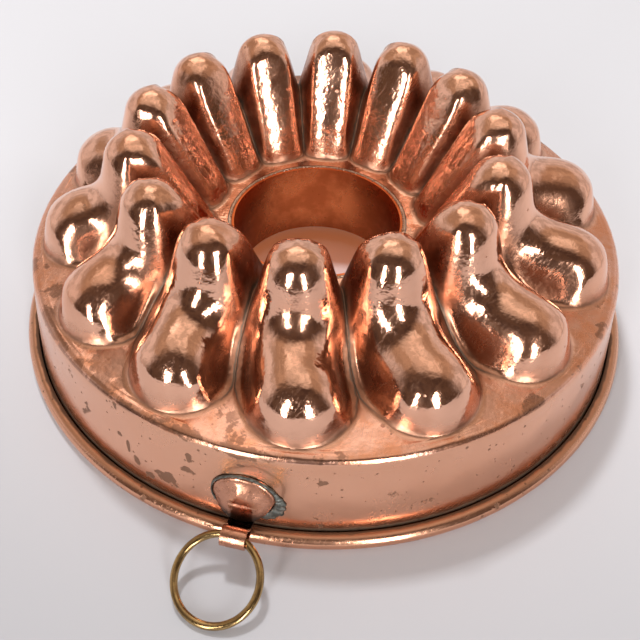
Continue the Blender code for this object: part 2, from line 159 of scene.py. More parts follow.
def paintOver(tree, colour, mask, share, paint):
    return mixColours(tree, maths(tree, "MULTIPLY", mask, share), colour, paint)


def axisDistance(tree, x, y):
    away = maths(tree, "SUBTRACT", y, axisY)
    squares = maths(tree, "ADD", maths(tree, "POWER", x, 2.0), maths(tree, "POWER", away, 2.0))
    return maths(tree, "SQRT", squares)


def newGroup(name, usual, output):
    # a shader group reads a Position and the numbers given here with their usual values
    tree = bpy.data.node_groups.new(name, "ShaderNodeTree")
    tree.interface.new_socket("Position", in_out="INPUT", socket_type=vectorKind)
    for label, value in usual.items():
        tree.interface.new_socket(label, in_out="INPUT", socket_type=floatKind).default_value = value
    tree.interface.new_socket(output, in_out="OUTPUT", socket_type=floatKind)
    return tree, tree.nodes.new("NodeGroupInput").outputs


def endTree(tree, value):
    tree.links.new(value, tree.nodes.new("NodeGroupOutput").inputs[0])
    return tree


def pattern(tree, group, place, **inputs):
    return addNode(tree, "ShaderNodeGroup", {"node_tree": group}, {"Position": place, **inputs}).outputs[0]


def seededPlace(tree, given):
    # the same pattern, read from another part of space for each seed
    away = maths(tree, "MULTIPLY", given["Seed"], 0.731)
    return vectorMaths(tree, "ADD", given["Position"], combine(tree, X=away, Y=away, Z=given["Seed"]))


# Wear and hammer marks that several materials share

# how each set of scratches is turned, and a scratch's width as a share of its length
scratchRuns = ((0.5, 0.05), (-0.9, 0.08), (1.45, 0.035))

# x, way up the wall and on over the edge, half width, half height of each brown stain on the front left
wornSpots = [
    (-0.0195, 0.0408, 0.0066, 0.0034), (-0.0020, 0.0395, 0.0092, 0.0034), (0.0075, 0.0386, 0.0040, 0.0010),
    (-0.0285, 0.0150, 0.0048, 0.0032), (-0.0350, 0.0115, 0.0022, 0.0015), (-0.0200, 0.0234, 0.0028, 0.0019),
    (-0.0190, 0.0302, 0.0014, 0.0028), (-0.0437, 0.0205, 0.0010, 0.0032), (-0.0470, 0.0235, 0.0012, 0.0014),
    (-0.0405, 0.0150, 0.0016, 0.0022), (-0.0010, 0.0335, 0.0022, 0.0010)]
edgeRadius = 0.1163  # where the wall turns over into the shoulder


def buildPatches():
    # soft-edged stains of uneven outline
    tree, given = newGroup("stainPatches", {"Size": 0.02, "Cover": 0.4, "Edge": 0.05, "Seed": 1.0}, "Mask")
    scale = maths(tree, "DIVIDE", 1.0, given["Size"])
    big = softNoise(tree, seededPlace(tree, given), Scale=scale, Detail=5.0, Roughness=0.62)
    level = maths(tree, "SUBTRACT", 1.0, given["Cover"])
    low = maths(tree, "SUBTRACT", level, given["Edge"])
    high = maths(tree, "ADD", level, given["Edge"])
    return endTree(tree, remap(tree, big, low, high))


def buildScratches():
    # fine hairline scratches in three directions, stronger in some places than in others
    tree, given = newGroup("hairScratches", {"Spacing": 0.0015, "Amount": 0.5, "Seed": 1.0}, "Mask")
    moved = seededPlace(tree, given)
    scale = maths(tree, "DIVIDE", 1.0, given["Spacing"])
    strongest = None
    for turn, thin in scratchRuns:
        placed = addNode(tree, "ShaderNodeMapping", {"vector_type": "TEXTURE"}, {
            "Vector": moved, "Rotation": (turn * 0.6, turn, turn * 1.7),
            "Scale": (1.0, 1.0, 1.0 / thin)}).outputs[0]
        lines = remap(tree, softNoise(tree, placed, Scale=scale, Detail=1.0, Roughness=0.7), 0.60, 0.72)
        strongest = lines if strongest is None else maths(tree, "MAXIMUM", strongest, lines)
    local = remap(tree, softNoise(tree, moved, Scale=60.0, Detail=1.0), 0.35, 0.7)
    return endTree(tree, maths(tree, "MULTIPLY", strongest, maths(tree, "MULTIPLY", given["Amount"], local)))


def buildPits():
    # small dark specks and pits of random size
    tree, given = newGroup("darkPits", {"Spacing": 0.006, "Radius": 0.12, "Share": 0.3, "Seed": 1.0}, "Mask")
    scale = maths(tree, "DIVIDE", 1.0, given["Spacing"])
    cells = addNode(tree, "ShaderNodeTexVoronoi", None, {
        "Vector": seededPlace(tree, given), "Scale": scale, "Randomness": 1.0}).outputs
    picked = addNode(tree, "ShaderNodeSeparateColor", None, {0: cells["Color"]}).outputs
    size = maths(tree, "MULTIPLY", given["Radius"], picked[1])
    dot = remap(tree, cells["Distance"], maths(tree, "MULTIPLY", size, 0.6), size, 1.0, 0.0)
    return endTree(tree, maths(tree, "MULTIPLY", dot, maths(tree, "LESS_THAN", picked[0], given["Share"])))


def buildHammer():
    # shallow planishing marks and a fine skin, as a height
    tree, given = newGroup("planishedSkin", {
        "Mark Size": 0.006, "Skin Size": 0.0007, "Skin": 0.1, "Seed": 1.0}, "Height")
    moved = seededPlace(tree, given)
    markScale = maths(tree, "DIVIDE", 1.0, given["Mark Size"])
    marks = softNoise(tree, moved, Scale=markScale, Detail=3.0, Roughness=0.47)
    fine = softNoise(tree, moved, Scale=maths(tree, "DIVIDE", 1.0, given["Skin Size"]), Detail=2.0)
    return endTree(tree, addShare(tree, marks, fine, given["Skin"]))


def buildSpots():
    # stains of uneven outline at the places in wornSpots
    tree, given = newGroup("wornSpots", {}, "Mask")
    x, y, z = separate(tree, given["Position"])
    inward = maths(tree, "MAXIMUM", maths(tree, "SUBTRACT", edgeRadius, axisDistance(tree, x, y)), 0.0)
    unrolled = combine(tree, X=x, Z=maths(tree, "ADD", z, inward))
    nearest = None
    for spotX, spotUp, halfWidth, halfHeight in wornSpots:
        offset = vectorMaths(tree, "SUBTRACT", unrolled, (spotX, 0.0, spotUp))
        scaled = vectorMaths(tree, "MULTIPLY", offset, (1 / halfWidth, 0.0, 1 / halfHeight))
        away = vectorMaths(tree, "LENGTH", scaled)
        nearest = away if nearest is None else maths(tree, "MINIMUM", nearest, away)
    outline = softNoise(tree, given["Position"], Scale=330.0, Detail=5.0, Roughness=0.6)
    uneven = maths(tree, "MULTIPLY_ADD", outline, 1.9, -0.95)
    mask = remap(tree, maths(tree, "ADD", nearest, uneven), 0.95, 0.75)
    return endTree(tree, maths(tree, "MULTIPLY", mask, maths(tree, "LESS_THAN", y, 0.0)))


stainPatches, spotStains = buildPatches(), buildSpots()
hairScratches, darkPits, planishedSkin = buildScratches(), buildPits(), buildHammer()
print("shader groups built")


def startMaterial(name, metallic=1.0):
    material = bpy.data.materials.new(name)
    material.use_nodes = True
    tree = material.node_tree
    shader = tree.nodes["Principled BSDF"]
    shader.inputs["Metallic"].default_value = metallic
    return material, tree, shader, tree.nodes.new("ShaderNodeTexCoord").outputs["Object"]


def finishMaterial(tree, shader, colour, roughness, height, bump, bumpDepth):
    tree.links.new(colour, shader.inputs["Base Color"])
    tree.links.new(roughness, shader.inputs["Roughness"])
    sizes = {"Strength": bump, "Distance": bumpDepth, "Height": height}
    tree.links.new(addNode(tree, "ShaderNodeBump", None, sizes).outputs["Normal"], shader.inputs["Normal"])


# flank, footDark and creaseGrey are colours of painted shade
crownFinish = {
    "copper": (0.94, 0.53, 0.37, 1), "warm": (0.86, 0.39, 0.23, 1), "stain": (0.42, 0.20, 0.12, 1),
    "shoulder": (0.90, 0.50, 0.37, 1), "oxide": (0.24, 0.125, 0.085, 1), "flank": (0.31, 0.13, 0.072, 1),
    "footDark": (0.22, 0.11, 0.07, 1), "creaseGrey": (0.16, 0.14, 0.11, 1),
    "mottle": {"Size": 0.011, "Cover": 0.47, "Edge": 0.12, "Seed": 2.0}, "mottleRough": 0.04,
    "smear": {"Size": 0.03, "Cover": 0.44, "Edge": 0.10, "Seed": 5.0}, "smearCover": 0.35, "smearRough": 0.05,
    "oxidePatch": {"Size": 0.013, "Edge": 0.02, "Seed": 9.0}, "oxideCover": 0.68,
    "oxideShare": 0.41, "wornShare": 0.13,  # share of the shoulder, and how much more at the front left
    "wornLeft": (-0.105, -0.075), "wornRight": (0.01, -0.03), "wornFront": (-0.02, -0.06),
    "blotch": {"Size": 0.006, "Cover": 0.55, "Edge": 0.14, "Seed": 12.0}, "blotchCover": 0.35,
    "flankCover": 0.92,
    "scratches": {"Spacing": 0.0011, "Amount": 0.8, "Seed": 3.0}, "scratchRough": 0.16,
    "pits": {"Spacing": 0.006, "Radius": 0.16, "Share": 0.30, "Seed": 4.0}, "pitCover": 0.5,
    "wander": 1.6, "tarnishReach": (0.25, 2.0), "tarnishCover": 0.40, "tarnishRough": 0.25,
    "lineReach": (0.05, 0.60), "lineCover": 0.4,  # both reaches in millimetres from the lobe's foot
    "polishRough": 0.085, "shoulderRough": 0.22, "flankRough": 0.28,
    "satinFrom": (0.068, 0.058), "satinRough": 0.045, "beatenFrom": (0.070, 0.062), "beatenMore": 1.7,
    "skin": {"Mark Size": 0.010, "Skin Size": 0.0016, "Skin": 0.13, "Seed": 1.0}, "markDepth": -0.05,
    "bump": 0.44, "bumpDepth": 0.0010}


def crownCopper():
    f = crownFinish
    material, tree, shader, place = startMaterial("crownCopper")
    foot, flat, flank = (addNode(tree, "ShaderNodeAttribute", {"attribute_name": name}).outputs["Fac"]
                         for name in ("footGap", "shoulderShare", "flankShare"))
    x, y, _ = separate(tree, place)
    radius = axisDistance(tree, x, y)
    mottle, smear, blotch = (pattern(tree, stainPatches, place, **f[name])
                             for name in ("mottle", "smear", "blotch"))
    scratch = pattern(tree, hairScratches, place, **f["scratches"])
    pits = pattern(tree, darkPits, place, **f["pits"])
    worn = maths(tree, "MULTIPLY", remap(tree, x, *f["wornLeft"]), remap(tree, x, *f["wornRight"]))
    worn = maths(tree, "MULTIPLY", worn, remap(tree, y, *f["wornFront"]))
    cover = maths(tree, "MULTIPLY_ADD", worn, f["wornShare"], f["oxideShare"])
    oxide = pattern(tree, stainPatches, place, Cover=cover, **f["oxidePatch"])
    oxide = maths(tree, "MAXIMUM", oxide, pattern(tree, spotStains, place))
    polished = paintOver(tree, f["copper"], smear, f["smearCover"], f["warm"])
    shoulder = mixColours(tree, mottle, f["shoulder"], f["warm"])
    shoulder = paintOver(tree, shoulder, oxide, f["oxideCover"], f["oxide"])
    colour = mixColours(tree, flat, polished, shoulder)
    # the lobes' sides and the sheet between them are painted darker, unevenly, as painted shade
    uneven = maths(tree, "MULTIPLY_ADD", blotch, f["blotchCover"], 1.0 - f["blotchCover"])
    side = maths(tree, "MULTIPLY", flank, uneven)
    colour = paintOver(tree, colour, side, f["flankCover"], f["flank"])
    # painted shade along each lobe's foot: a dark line in the crease, greyer where it runs between the lobes,
    # and a wider brown band of painted shade and tarnish
    wander = softNoise(tree, place, Scale=260.0, Detail=4.0)
    near = maths(tree, "ADD", foot, maths(tree, "MULTIPLY_ADD", wander, f["wander"], -f["wander"] / 2))
    near = maths(tree, "ABSOLUTE", near)
    footShadeAndTarnish = remap(tree, near, *f["tarnishReach"], 1.0, 0.0)
    colour = paintOver(tree, colour, footShadeAndTarnish, f["tarnishCover"], f["stain"])
    line = remap(tree, near, *f["lineReach"], 1.0, 0.0)
    lineShare = maths(tree, "MULTIPLY_ADD", flank, f["lineCover"], f["lineCover"])
    colour = paintOver(tree, colour, line, lineShare, mixColours(tree, flank, f["footDark"], f["creaseGrey"]))
    colour = paintOver(tree, colour, pits, f["pitCover"], f["stain"])
    rough = remap(tree, radius, *f["satinFrom"], f["polishRough"], f["polishRough"] + f["satinRough"])
    for mask, share in (
            (flat, f["shoulderRough"] - f["polishRough"]), (side, f["flankRough"] - f["polishRough"]),
            (scratch, f["scratchRough"]), (maths(tree, "MAXIMUM", footShadeAndTarnish, pits), f["tarnishRough"]),
            (smear, f["smearRough"]), (mottle, f["mottleRough"])):
        rough = addShare(tree, rough, mask, share)
    height = pattern(tree, planishedSkin, place, **f["skin"])
    height = addShare(tree, height, maths(tree, "MULTIPLY_ADD", scratch, 0.3, pits), f["markDepth"])
    height = maths(tree, "MULTIPLY", height, maths(tree, "MULTIPLY_ADD", flat, -0.15, 1.0))
    height = maths(tree, "MULTIPLY", height, remap(tree, radius, *f["beatenFrom"], 1.0, f["beatenMore"]))
    finishMaterial(tree, shader, colour, rough, height, f["bump"], f["bumpDepth"])
    return material


wallFinish = {
    "copper": (0.88, 0.48, 0.32, 1), "warm": (0.78, 0.38, 0.225, 1), "oxide": (0.17, 0.095, 0.06, 1),
    "bead": (0.80, 0.42, 0.27, 1), "browned": (0.36, 0.17, 0.09, 1), "groove": (0.12, 0.11, 0.085, 1),
    "smear": {"Size": 0.045, "Cover": 0.45, "Edge": 0.15, "Seed": 7.0}, "smearCover": 0.4,
    "oxidePatch": {"Size": 0.009, "Cover": 0.345, "Edge": 0.014, "Seed": 6.2}, "markCover": 0.78,
    "pits": {"Spacing": 0.0026, "Radius": 0.30, "Share": 0.5, "Seed": 8.0}, "pitCover": 0.9,
    "scratches": {"Spacing": 0.0009, "Amount": 0.7, "Seed": 6.0}, "scratchRough": 0.14,
    "beadTop": (0.0070, 0.0095), "grooveRadius": 0.1204, "grooveHeight": 0.0057, "ragged": -0.0024,
    "brownReach": (0.0003, 0.0034), "brownCover": 0.4, "brownRough": 0.16,
    "grooveReach": (-0.0002, 0.0007), "grooveCover": 0.75,
    "dripAt": (0.0030, 0.0, 0.0245), "dripScale": (95.0, 0.0, 105.0), "dripRing": 1.17,
    "dripReach": (0.02, 0.07), "dripUneven": 0.35, "dripCover": 0.45, "roughness": 0.20, "markRough": 0.3,
    "skin": {"Mark Size": 0.012, "Skin Size": 0.0010, "Skin": 0.08, "Seed": 5.0}, "markDepth": -0.10,
    "bump": 0.35, "bumpDepth": 0.0006}


def wallCopper():
    f = wallFinish
    material, tree, shader, place = startMaterial("wallCopper")
    x, y, z = separate(tree, place)
    smear, oxide = (pattern(tree, stainPatches, place, **f[name]) for name in ("smear", "oxidePatch"))
    oxide = maths(tree, "MAXIMUM", oxide, pattern(tree, spotStains, place))
    pits = pattern(tree, darkPits, place, **f["pits"])
    scratch = pattern(tree, hairScratches, place, **f["scratches"])
    colour = paintOver(tree, f["copper"], smear, f["smearCover"], f["warm"])
    colour = mixColours(tree, remap(tree, z, *f["beadTop"], 1.0, 0.0), colour, f["bead"])
    # painted shade darkens the wall brown round the groove over the rolled rim, and dirt with painted shade
    # makes the groove itself almost black
    aside = maths(tree, "ABSOLUTE", maths(tree, "SUBTRACT", axisDistance(tree, x, y), f["grooveRadius"]))
    above = maths(tree, "ABSOLUTE", maths(tree, "SUBTRACT", z, f["grooveHeight"]))
    uneven = softNoise(tree, place, Scale=160.0, Detail=5.0)
    ragged = addShare(tree, maths(tree, "ADD", aside, above), uneven, f["ragged"])
    browned = remap(tree, ragged, *f["brownReach"], 1.0, 0.0)
    colour = paintOver(tree, colour, browned, f["brownCover"], f["browned"])
    groove = remap(tree, ragged, *f["grooveReach"], 1.0, 0.0)
    colour = paintOver(tree, colour, groove, f["grooveCover"], f["groove"])
    # the old run round the plate has dried to a thin brown ring
    fromDrip = vectorMaths(tree, "SUBTRACT", place, f["dripAt"])
    scaled = vectorMaths(tree, "MULTIPLY", fromDrip, f["dripScale"])
    dripAway = addShare(tree, vectorMaths(tree, "LENGTH", scaled), uneven, f["dripUneven"])
    dripLine = maths(tree, "ABSOLUTE", maths(tree, "SUBTRACT", dripAway, f["dripRing"]))
    inFront = maths(tree, "LESS_THAN", y, 0.0)
    drip = maths(tree, "MULTIPLY", remap(tree, dripLine, *f["dripReach"], 1.0, 0.0), inFront)
    colour = paintOver(tree, colour, drip, f["dripCover"], f["browned"])
    marks = maths(tree, "MAXIMUM", oxide, maths(tree, "MULTIPLY", pits, f["pitCover"]))
    colour = paintOver(tree, colour, marks, f["markCover"], f["oxide"])
    rough = maths(tree, "MULTIPLY_ADD", scratch, f["scratchRough"], f["roughness"])
    rough = addShare(tree, rough, browned, f["brownRough"])
    rough = addShare(tree, rough, maths(tree, "MAXIMUM", marks, groove), f["markRough"])
    skin = pattern(tree, planishedSkin, place, **f["skin"])
    height = addShare(tree, skin, maths(tree, "ADD", scratch, marks), f["markDepth"])
    finishMaterial(tree, shader, colour, rough, height, f["bump"], f["bumpDepth"])
    return material


plainFinishes = {
    "tubeCopper": {"base": (0.90, 0.25, 0.085, 1), "stain": (0.62, 0.14, 0.04, 1), "cover": 0.50,
                   "size": 0.014, "roughness": 0.26, "bump": 0.4},
    "tinnedInside": {"base": (0.62, 0.60, 0.57, 1), "stain": (0.36, 0.33, 0.30, 1), "cover": 0.45,
                     "size": 0.014, "roughness": 0.38, "bump": 0.5},
    "hangerCopper": {"base": (0.64, 0.315, 0.205, 1), "stain": (0.36, 0.16, 0.10, 1), "cover": 0.48,
                     "size": 0.004, "roughness": 0.22, "bump": 0.5},
    "blackWire": {"base": (0.12, 0.11, 0.10, 1), "stain": (0.20, 0.10, 0.05, 1), "cover": 0.45,
                  "size": 0.004, "roughness": 0.6, "bump": 0.6},
    "brazedSeam": {"base": (0.70, 0.50, 0.28, 1), "stain": (0.35, 0.22, 0.12, 1), "cover": 0.50,
                   "size": 0.003, "roughness": 0.42, "bump": 0.9},
    "tinSolder": {"base": (0.80, 0.62, 0.50, 1), "stain": (0.50, 0.30, 0.20, 1), "cover": 0.45,
                  "size": 0.002, "roughness": 0.30, "bump": 0.8},
    "leadSolder": {"base": (0.25, 0.26, 0.24, 1), "stain": (0.04, 0.042, 0.035, 1), "cover": 0.52,
                   "size": 0.0018, "roughness": 0.46, "bump": 1.0},
    "agedBrass": {"base": (0.50, 0.34, 0.15, 1), "stain": (0.24, 0.15, 0.07, 1), "cover": 0.48,
                  "size": 0.006, "roughness": 0.15, "bump": 0.15}}
plainWear = {
    "patchEdge": 0.1, "stainCover": 0.6, "wearRough": 0.12, "markDepth": -0.2, "bumpDepth": 0.0003,
    "scratches": {"Spacing": 0.0008, "Amount": 0.7}, "pits": {"Spacing": 0.003, "Radius": 0.2, "Share": 0.4},
    "skin": {"Skin Size": 0.0008, "Skin": 0.2}, "markSize": 0.6}  # a hammer mark's size against a stain's
# where the strap leaves the wall under the plate, painted near-black shade
neckShade = {
    "y": (axisY - 0.1268, axisY - 0.1245), "z": (0.0165, 0.0130),
    "cover": 0.9, "black": (0.035, 0.03, 0.025, 1)}


def plainMetal(name):
    f, wear, seed = plainFinishes[name], plainWear, float(len(name))
    material, tree, shader, place = startMaterial(name)
    patchSizes = {"Size": f["size"], "Cover": f["cover"], "Edge": wear["patchEdge"], "Seed": seed}
    patches = pattern(tree, stainPatches, place, **patchSizes)
    scratch = pattern(tree, hairScratches, place, Seed=seed, **wear["scratches"])
    pits = pattern(tree, darkPits, place, Seed=seed, **wear["pits"])
    colour = paintOver(tree, f["base"], patches, wear["stainCover"], f["stain"])
    colour = paintOver(tree, colour, pits, wear["stainCover"], f["stain"])
    if name == "hangerCopper":  # painted shade, near black, on the strap in the corner between wall, bead and strap
        _, y, z = separate(tree, place)
        inCorner = maths(tree, "MULTIPLY", remap(tree, y, *neckShade["y"]), remap(tree, z, *neckShade["z"]))
        colour = paintOver(tree, colour, inCorner, neckShade["cover"], neckShade["black"])
    worn = maths(tree, "MAXIMUM", patches, scratch)
    rough = maths(tree, "MULTIPLY_ADD", worn, wear["wearRough"], f["roughness"])
    skinSizes = {"Mark Size": f["size"] * wear["markSize"], "Seed": seed, **wear["skin"]}
    skin = pattern(tree, planishedSkin, place, **skinSizes)
    height = addShare(tree, skin, maths(tree, "ADD", scratch, pits), wear["markDepth"])
    finishMaterial(tree, shader, colour, rough, height, f["bump"], wear["bumpDepth"])
    return material


finishes = {name: plainMetal(name) for name in plainFinishes}
finishes["crownCopper"] = crownCopper()
finishes["wallCopper"] = wallCopper()
print("materials built:", ", ".join(sorted(finishes)))

# Crown: one lobe's wedge, then Geometry Nodes set it round the tube

crown = {
    "lobes": 14, "firstLobe": -82.4, "sheet": 0.0010, "seed": 3,
    "tubeShift": -0.0035, "fadeStart": 0.082, "fadeEnd": 0.104,  # the knobs follow the tube aside
    "collarRadius": 0.0363, "collarHeight": 0.0410, "creaseInner": 0.0435, "creasePeak": 0.0660,
    "creasePeakHeight": 0.0625, "creaseOuter": 0.0955, "footHeight": 0.0415, "shoulderHeight": 0.0398,
    "shoulderRadius": 0.1142, "wallRadius": 0.11655, "skirtRadius": 0.11703, "skirtHeight": 0.0345,
    "knobAt": 0.0696, "knobHeight": 0.0760, "knobRadius": 0.0110, "knobBackSlope": 74, "cornerRadius": 0.0120,
    "fingerSlope": 64, "fingerNose": 0.0050, "fingerDome": 0.86, "stemSpread": 0.25,
    "bulbSlope": 10, "bulbRadius": 0.0200, "bulbAt": 0.0920, "bulbEnd": 0.1123, "bulbDome": 0.0150,
    "bulbBlend": 0.0140, "domeAngle": 70, "flankSlope": 4.2, "flankFall": 1.9, "edgeRound": 0.0040,
    "valleyHalf": 0.0004, "footFillet": 0.0024, "leastWidth": 0.0008,
    "lipHeight": 0.00022, "lipAt": 0.0019, "lipWidth": 0.0006, "lipFrom": (0.094, 0.100),
    "shoulderFrom": (0.094, 0.099), "shoulderEdge": (0.0006, 0.0022), "cornerShare": 0.8, "farFromFoot": 9.0,
    "flankEdge": (0.46, 0.16), "flankOuter": (0.104, 0.094), "flankInner": (0.0405, 0.0480),
    "collarRows": 5, "ridgeRows": 72, "shoulderRows": 4, "domeColumns": 13, "seatColumns": 4,
    "dentHeight": 0.0009, "dentSize": 0.030, "dentInner": (0.038, 0.046), "dentOuter": (0.1165, 0.112),
    "topDrop": 0.00028, "topFrom": (0.078, 0.087)}


def seatHeight(r):
    # the sheet between the lobes: up to a saddle behind the knobs, down again and out to the shoulder's edge
    c = crown
    climb, fall = c["creasePeakHeight"] - c["collarHeight"], c["footHeight"] - c["creasePeakHeight"]
    inner = c["collarHeight"] + climb * ease(c["creaseInner"], c["creasePeak"], r)
    outer = c["creasePeakHeight"] + fall * ease(c["creasePeak"], c["creaseOuter"], r)
    share = (r - c["creaseOuter"]) / (c["shoulderRadius"] - c["creaseOuter"])
    flat = c["footHeight"] + (c["shoulderHeight"] - c["footHeight"]) * share
    return np.where(r <= c["creasePeak"], inner, np.where(r <= c["creaseOuter"], outer, flat))


def ridgeCorners():
    # the concave arc between the knob's steep back and the bulb's nearly level top touches both
    c = crown
    steep, level = math.radians(c["knobBackSlope"]), math.radians(c["bulbSlope"])
    normals = np.array([[math.sin(steep), math.cos(steep)], [math.sin(level), math.cos(level)]])
    leave = np.array([c["knobAt"], c["knobHeight"]]) + c["knobRadius"] * normals[0]
    arrive = np.array([c["bulbEnd"] - c["bulbRadius"], c["footHeight"]]) + c["bulbRadius"] * normals[1]
    centre = np.linalg.solve(normals, np.array([leave @ normals[0], arrive @ normals[1]]) + c["cornerRadius"])
    high, low = centre - c["cornerRadius"] * normals
    return leave, arrive, centre, high, low


def bulbRidge(r):
    # the bulb's own top: a gentle slope, then round down to the shoulder
    c = crown
    arrive = ridgeCorners()[1]
    along = np.clip(r - (c["bulbEnd"] - c["bulbRadius"]), 0.0, c["bulbRadius"])
    end = c["footHeight"] + np.sqrt(np.maximum(c["bulbRadius"] ** 2 - along**2, 0.0))
    return np.where(r < arrive[0], arrive[1] + (arrive[0] - r) * math.tan(math.radians(c["bulbSlope"])), end)


def fingerTop():
    # where the finger's straight slope meets the round knob
    slope = math.radians(crown["fingerSlope"])
    return (crown["knobAt"] - crown["knobRadius"] * math.sin(slope),
            crown["knobHeight"] + crown["knobRadius"] * math.cos(slope))


def ridgeHeight(r):
    c = crown
    leave, arrive, centre, high, low = ridgeCorners()
    topR, topZ = fingerTop()
    finger = topZ - (topR - r) * math.tan(math.radians(c["fingerSlope"]))
    knob = c["knobHeight"] + np.sqrt(np.maximum(c["knobRadius"] ** 2 - (r - c["knobAt"]) ** 2, 0.0))
    steep = leave[1] - (r - leave[0]) * math.tan(math.radians(c["knobBackSlope"]))
    corner = centre[1] - np.sqrt(np.maximum(c["cornerRadius"] ** 2 - (r - centre[0]) ** 2, 0.0))
    stretches = [r < topR, r < leave[0], r < high[0], r < low[0]]
    return np.select(stretches, [finger, knob, steep, corner], bulbRidge(r))


def domeDrop(across, radius):
    # how far a round section has fallen at this distance from its middle, straight past the dome's angle
    steepest = math.radians(crown["domeAngle"])
    edge = radius * math.sin(steepest)
    inside = radius - np.sqrt(np.maximum(radius**2 - np.minimum(across, edge) ** 2, 0.0))
    return inside + np.maximum(across - edge, 0.0) * math.tan(steepest)


def lobeTop(r, across, width):
    # inside the knob a round finger, outside it the bulb with the knob standing on it as a round post
    c = crown
    if r <= c["knobAt"]:
        radius = min(c["knobRadius"], c["fingerDome"] * max(width, 0.001))
        return ridgeHeight(np.array(r)) - domeDrop(across, radius)
    blend = ease(c["knobAt"], c["knobAt"] + c["bulbBlend"], r)
    around = c["knobAt"] + np.hypot(r - c["knobAt"], across * (1.0 - c["stemSpread"] * blend))
    post = np.where(around < c["bulbEnd"] - 0.005, ridgeHeight(around) - bulbRidge(around), 0.0)
    return bulbRidge(np.array(r)) - domeDrop(across, c["bulbDome"]) * blend + post


def lobeHalfWidth(r, fingerEnd):
    c = crown
    full = math.pi / c["lobes"]
    nose = np.clip((fingerEnd + c["fingerNose"] - r) / c["fingerNose"], 0.0, 1.0)
    tip = np.clip((r - c["bulbAt"]) / (c["bulbEnd"] - c["bulbAt"]), 0.0, 1.0)
    rounded = full * c["bulbAt"] / r * np.sqrt(1.0 - tip**2)
    angle = np.where(tip > 0.0, rounded, full * np.sqrt(1.0 - nose**2))
    return np.minimum(angle * r, full * r - c["valleyHalf"])


def wedgeRadii(fingerEnd):
    # rows at even steps along the ridge, with a few more on the collar and the shoulder
    c = crown
    samples = np.linspace(fingerEnd, c["bulbEnd"], 4000)
    length = np.concatenate([[0.0], np.cumsum(np.hypot(np.diff(samples), np.diff(ridgeHeight(samples))))])
    ridge = np.interp(np.linspace(0.0, length[-1], c["ridgeRows"]), length, samples)
    collar = np.linspace(c["collarRadius"], fingerEnd, c["collarRows"] + 1)[:-1]
    shoulder = np.linspace(c["bulbEnd"], c["shoulderRadius"], c["shoulderRows"] + 1)[1:]
    return np.concatenate([collar, ridge, shoulder])


def footOutline(fingerEnd):
    # the lobe's outline on the sheet, seen from above, with close points at its round ends
    c = crown
    noseEnd, tipStart = 0.046, 0.108
    nose, side = np.linspace(fingerEnd, noseEnd, 60), np.linspace(noseEnd + 0.0002, tipStart, 160)[:-1]
    tip = c["bulbEnd"] - (c["bulbEnd"] - tipStart) * np.linspace(1.0, 0.0, 120) ** 2
    fine = np.concatenate([nose, side, tip])
    turn = lobeHalfWidth(fine, fingerEnd) / fine
    return np.stack([fine * np.cos(turn), fine * np.sin(turn)], -1)


def outlineGap(plan, outline):
    # distance of each point from the outline
    starts, spans = outline[:-1], np.diff(outline, axis=0)
    offset = plan[:, None, :] - starts[None]
    along = np.clip((offset * spans).sum(-1) / (spans**2).sum(-1), 0.0, 1.0)
    return np.hypot(*np.moveaxis(offset - along[..., None] * spans, -1, 0)).min(1)


def mirrored(values):
    return np.concatenate([values[:0:-1], values])


def wedgeRow(r, width, outline):
    # points across the wedge at this radius, and what the materials read there
    c = crown
    half, laid, seat = math.pi / c["lobes"] * r, max(width, c["leastWidth"]), float(seatHeight(np.array(r)))
    inside = laid * np.linspace(0.0, 1.0, c["domeColumns"] + 1)
    outside = laid + (half - laid) * np.linspace(0.0, 1.0, c["seatColumns"] + 1)[1:] ** 1.5
    across = np.concatenate([inside, outside])
    gap = outlineGap(np.stack([r * np.cos(across / r), r * np.sin(across / r)], -1), outline)
    isInside = across < width
    height = -c["flankFall"] * gap
    if width > 0.0:
        top, flank, edge = lobeTop(r, across, width) - seat, c["flankSlope"] * gap, c["edgeRound"]
        lower = np.minimum(top, flank) - np.maximum(edge - np.abs(top - flank), 0.0) ** 2 / (4 * edge)
        height = np.where(isInside, lower, height)
    fillet = c["footFillet"]
    up = np.maximum(height, 0.0) + np.maximum(fillet - np.abs(height), 0.0) ** 2 / (4 * fillet)
    lip = c["lipHeight"] * np.exp(-(((gap - c["lipAt"]) / c["lipWidth"]) ** 2))
    up = up + float(ease(*c["lipFrom"], r)) * np.where(isInside, 0.0, 1.0) * lip
    outwards = gap * np.where(isInside, -1.0, 1.0)
    flat = float(ease(*c["shoulderFrom"], r)) * ease(*c["shoulderEdge"], outwards)
    side = np.where(isInside, ease(c["flankEdge"][0] * half, c["flankEdge"][1] * half, gap), 1.0)
    side = side * float(ease(*c["flankOuter"], r) * ease(*c["flankInner"], r))
    both = np.concatenate([-across[:0:-1], across])
    points = np.stack([r * np.cos(both / r), r * np.sin(both / r), mirrored(seat + up)], -1)
    return points, mirrored(outwards * 1000), mirrored(flat), mirrored(side)


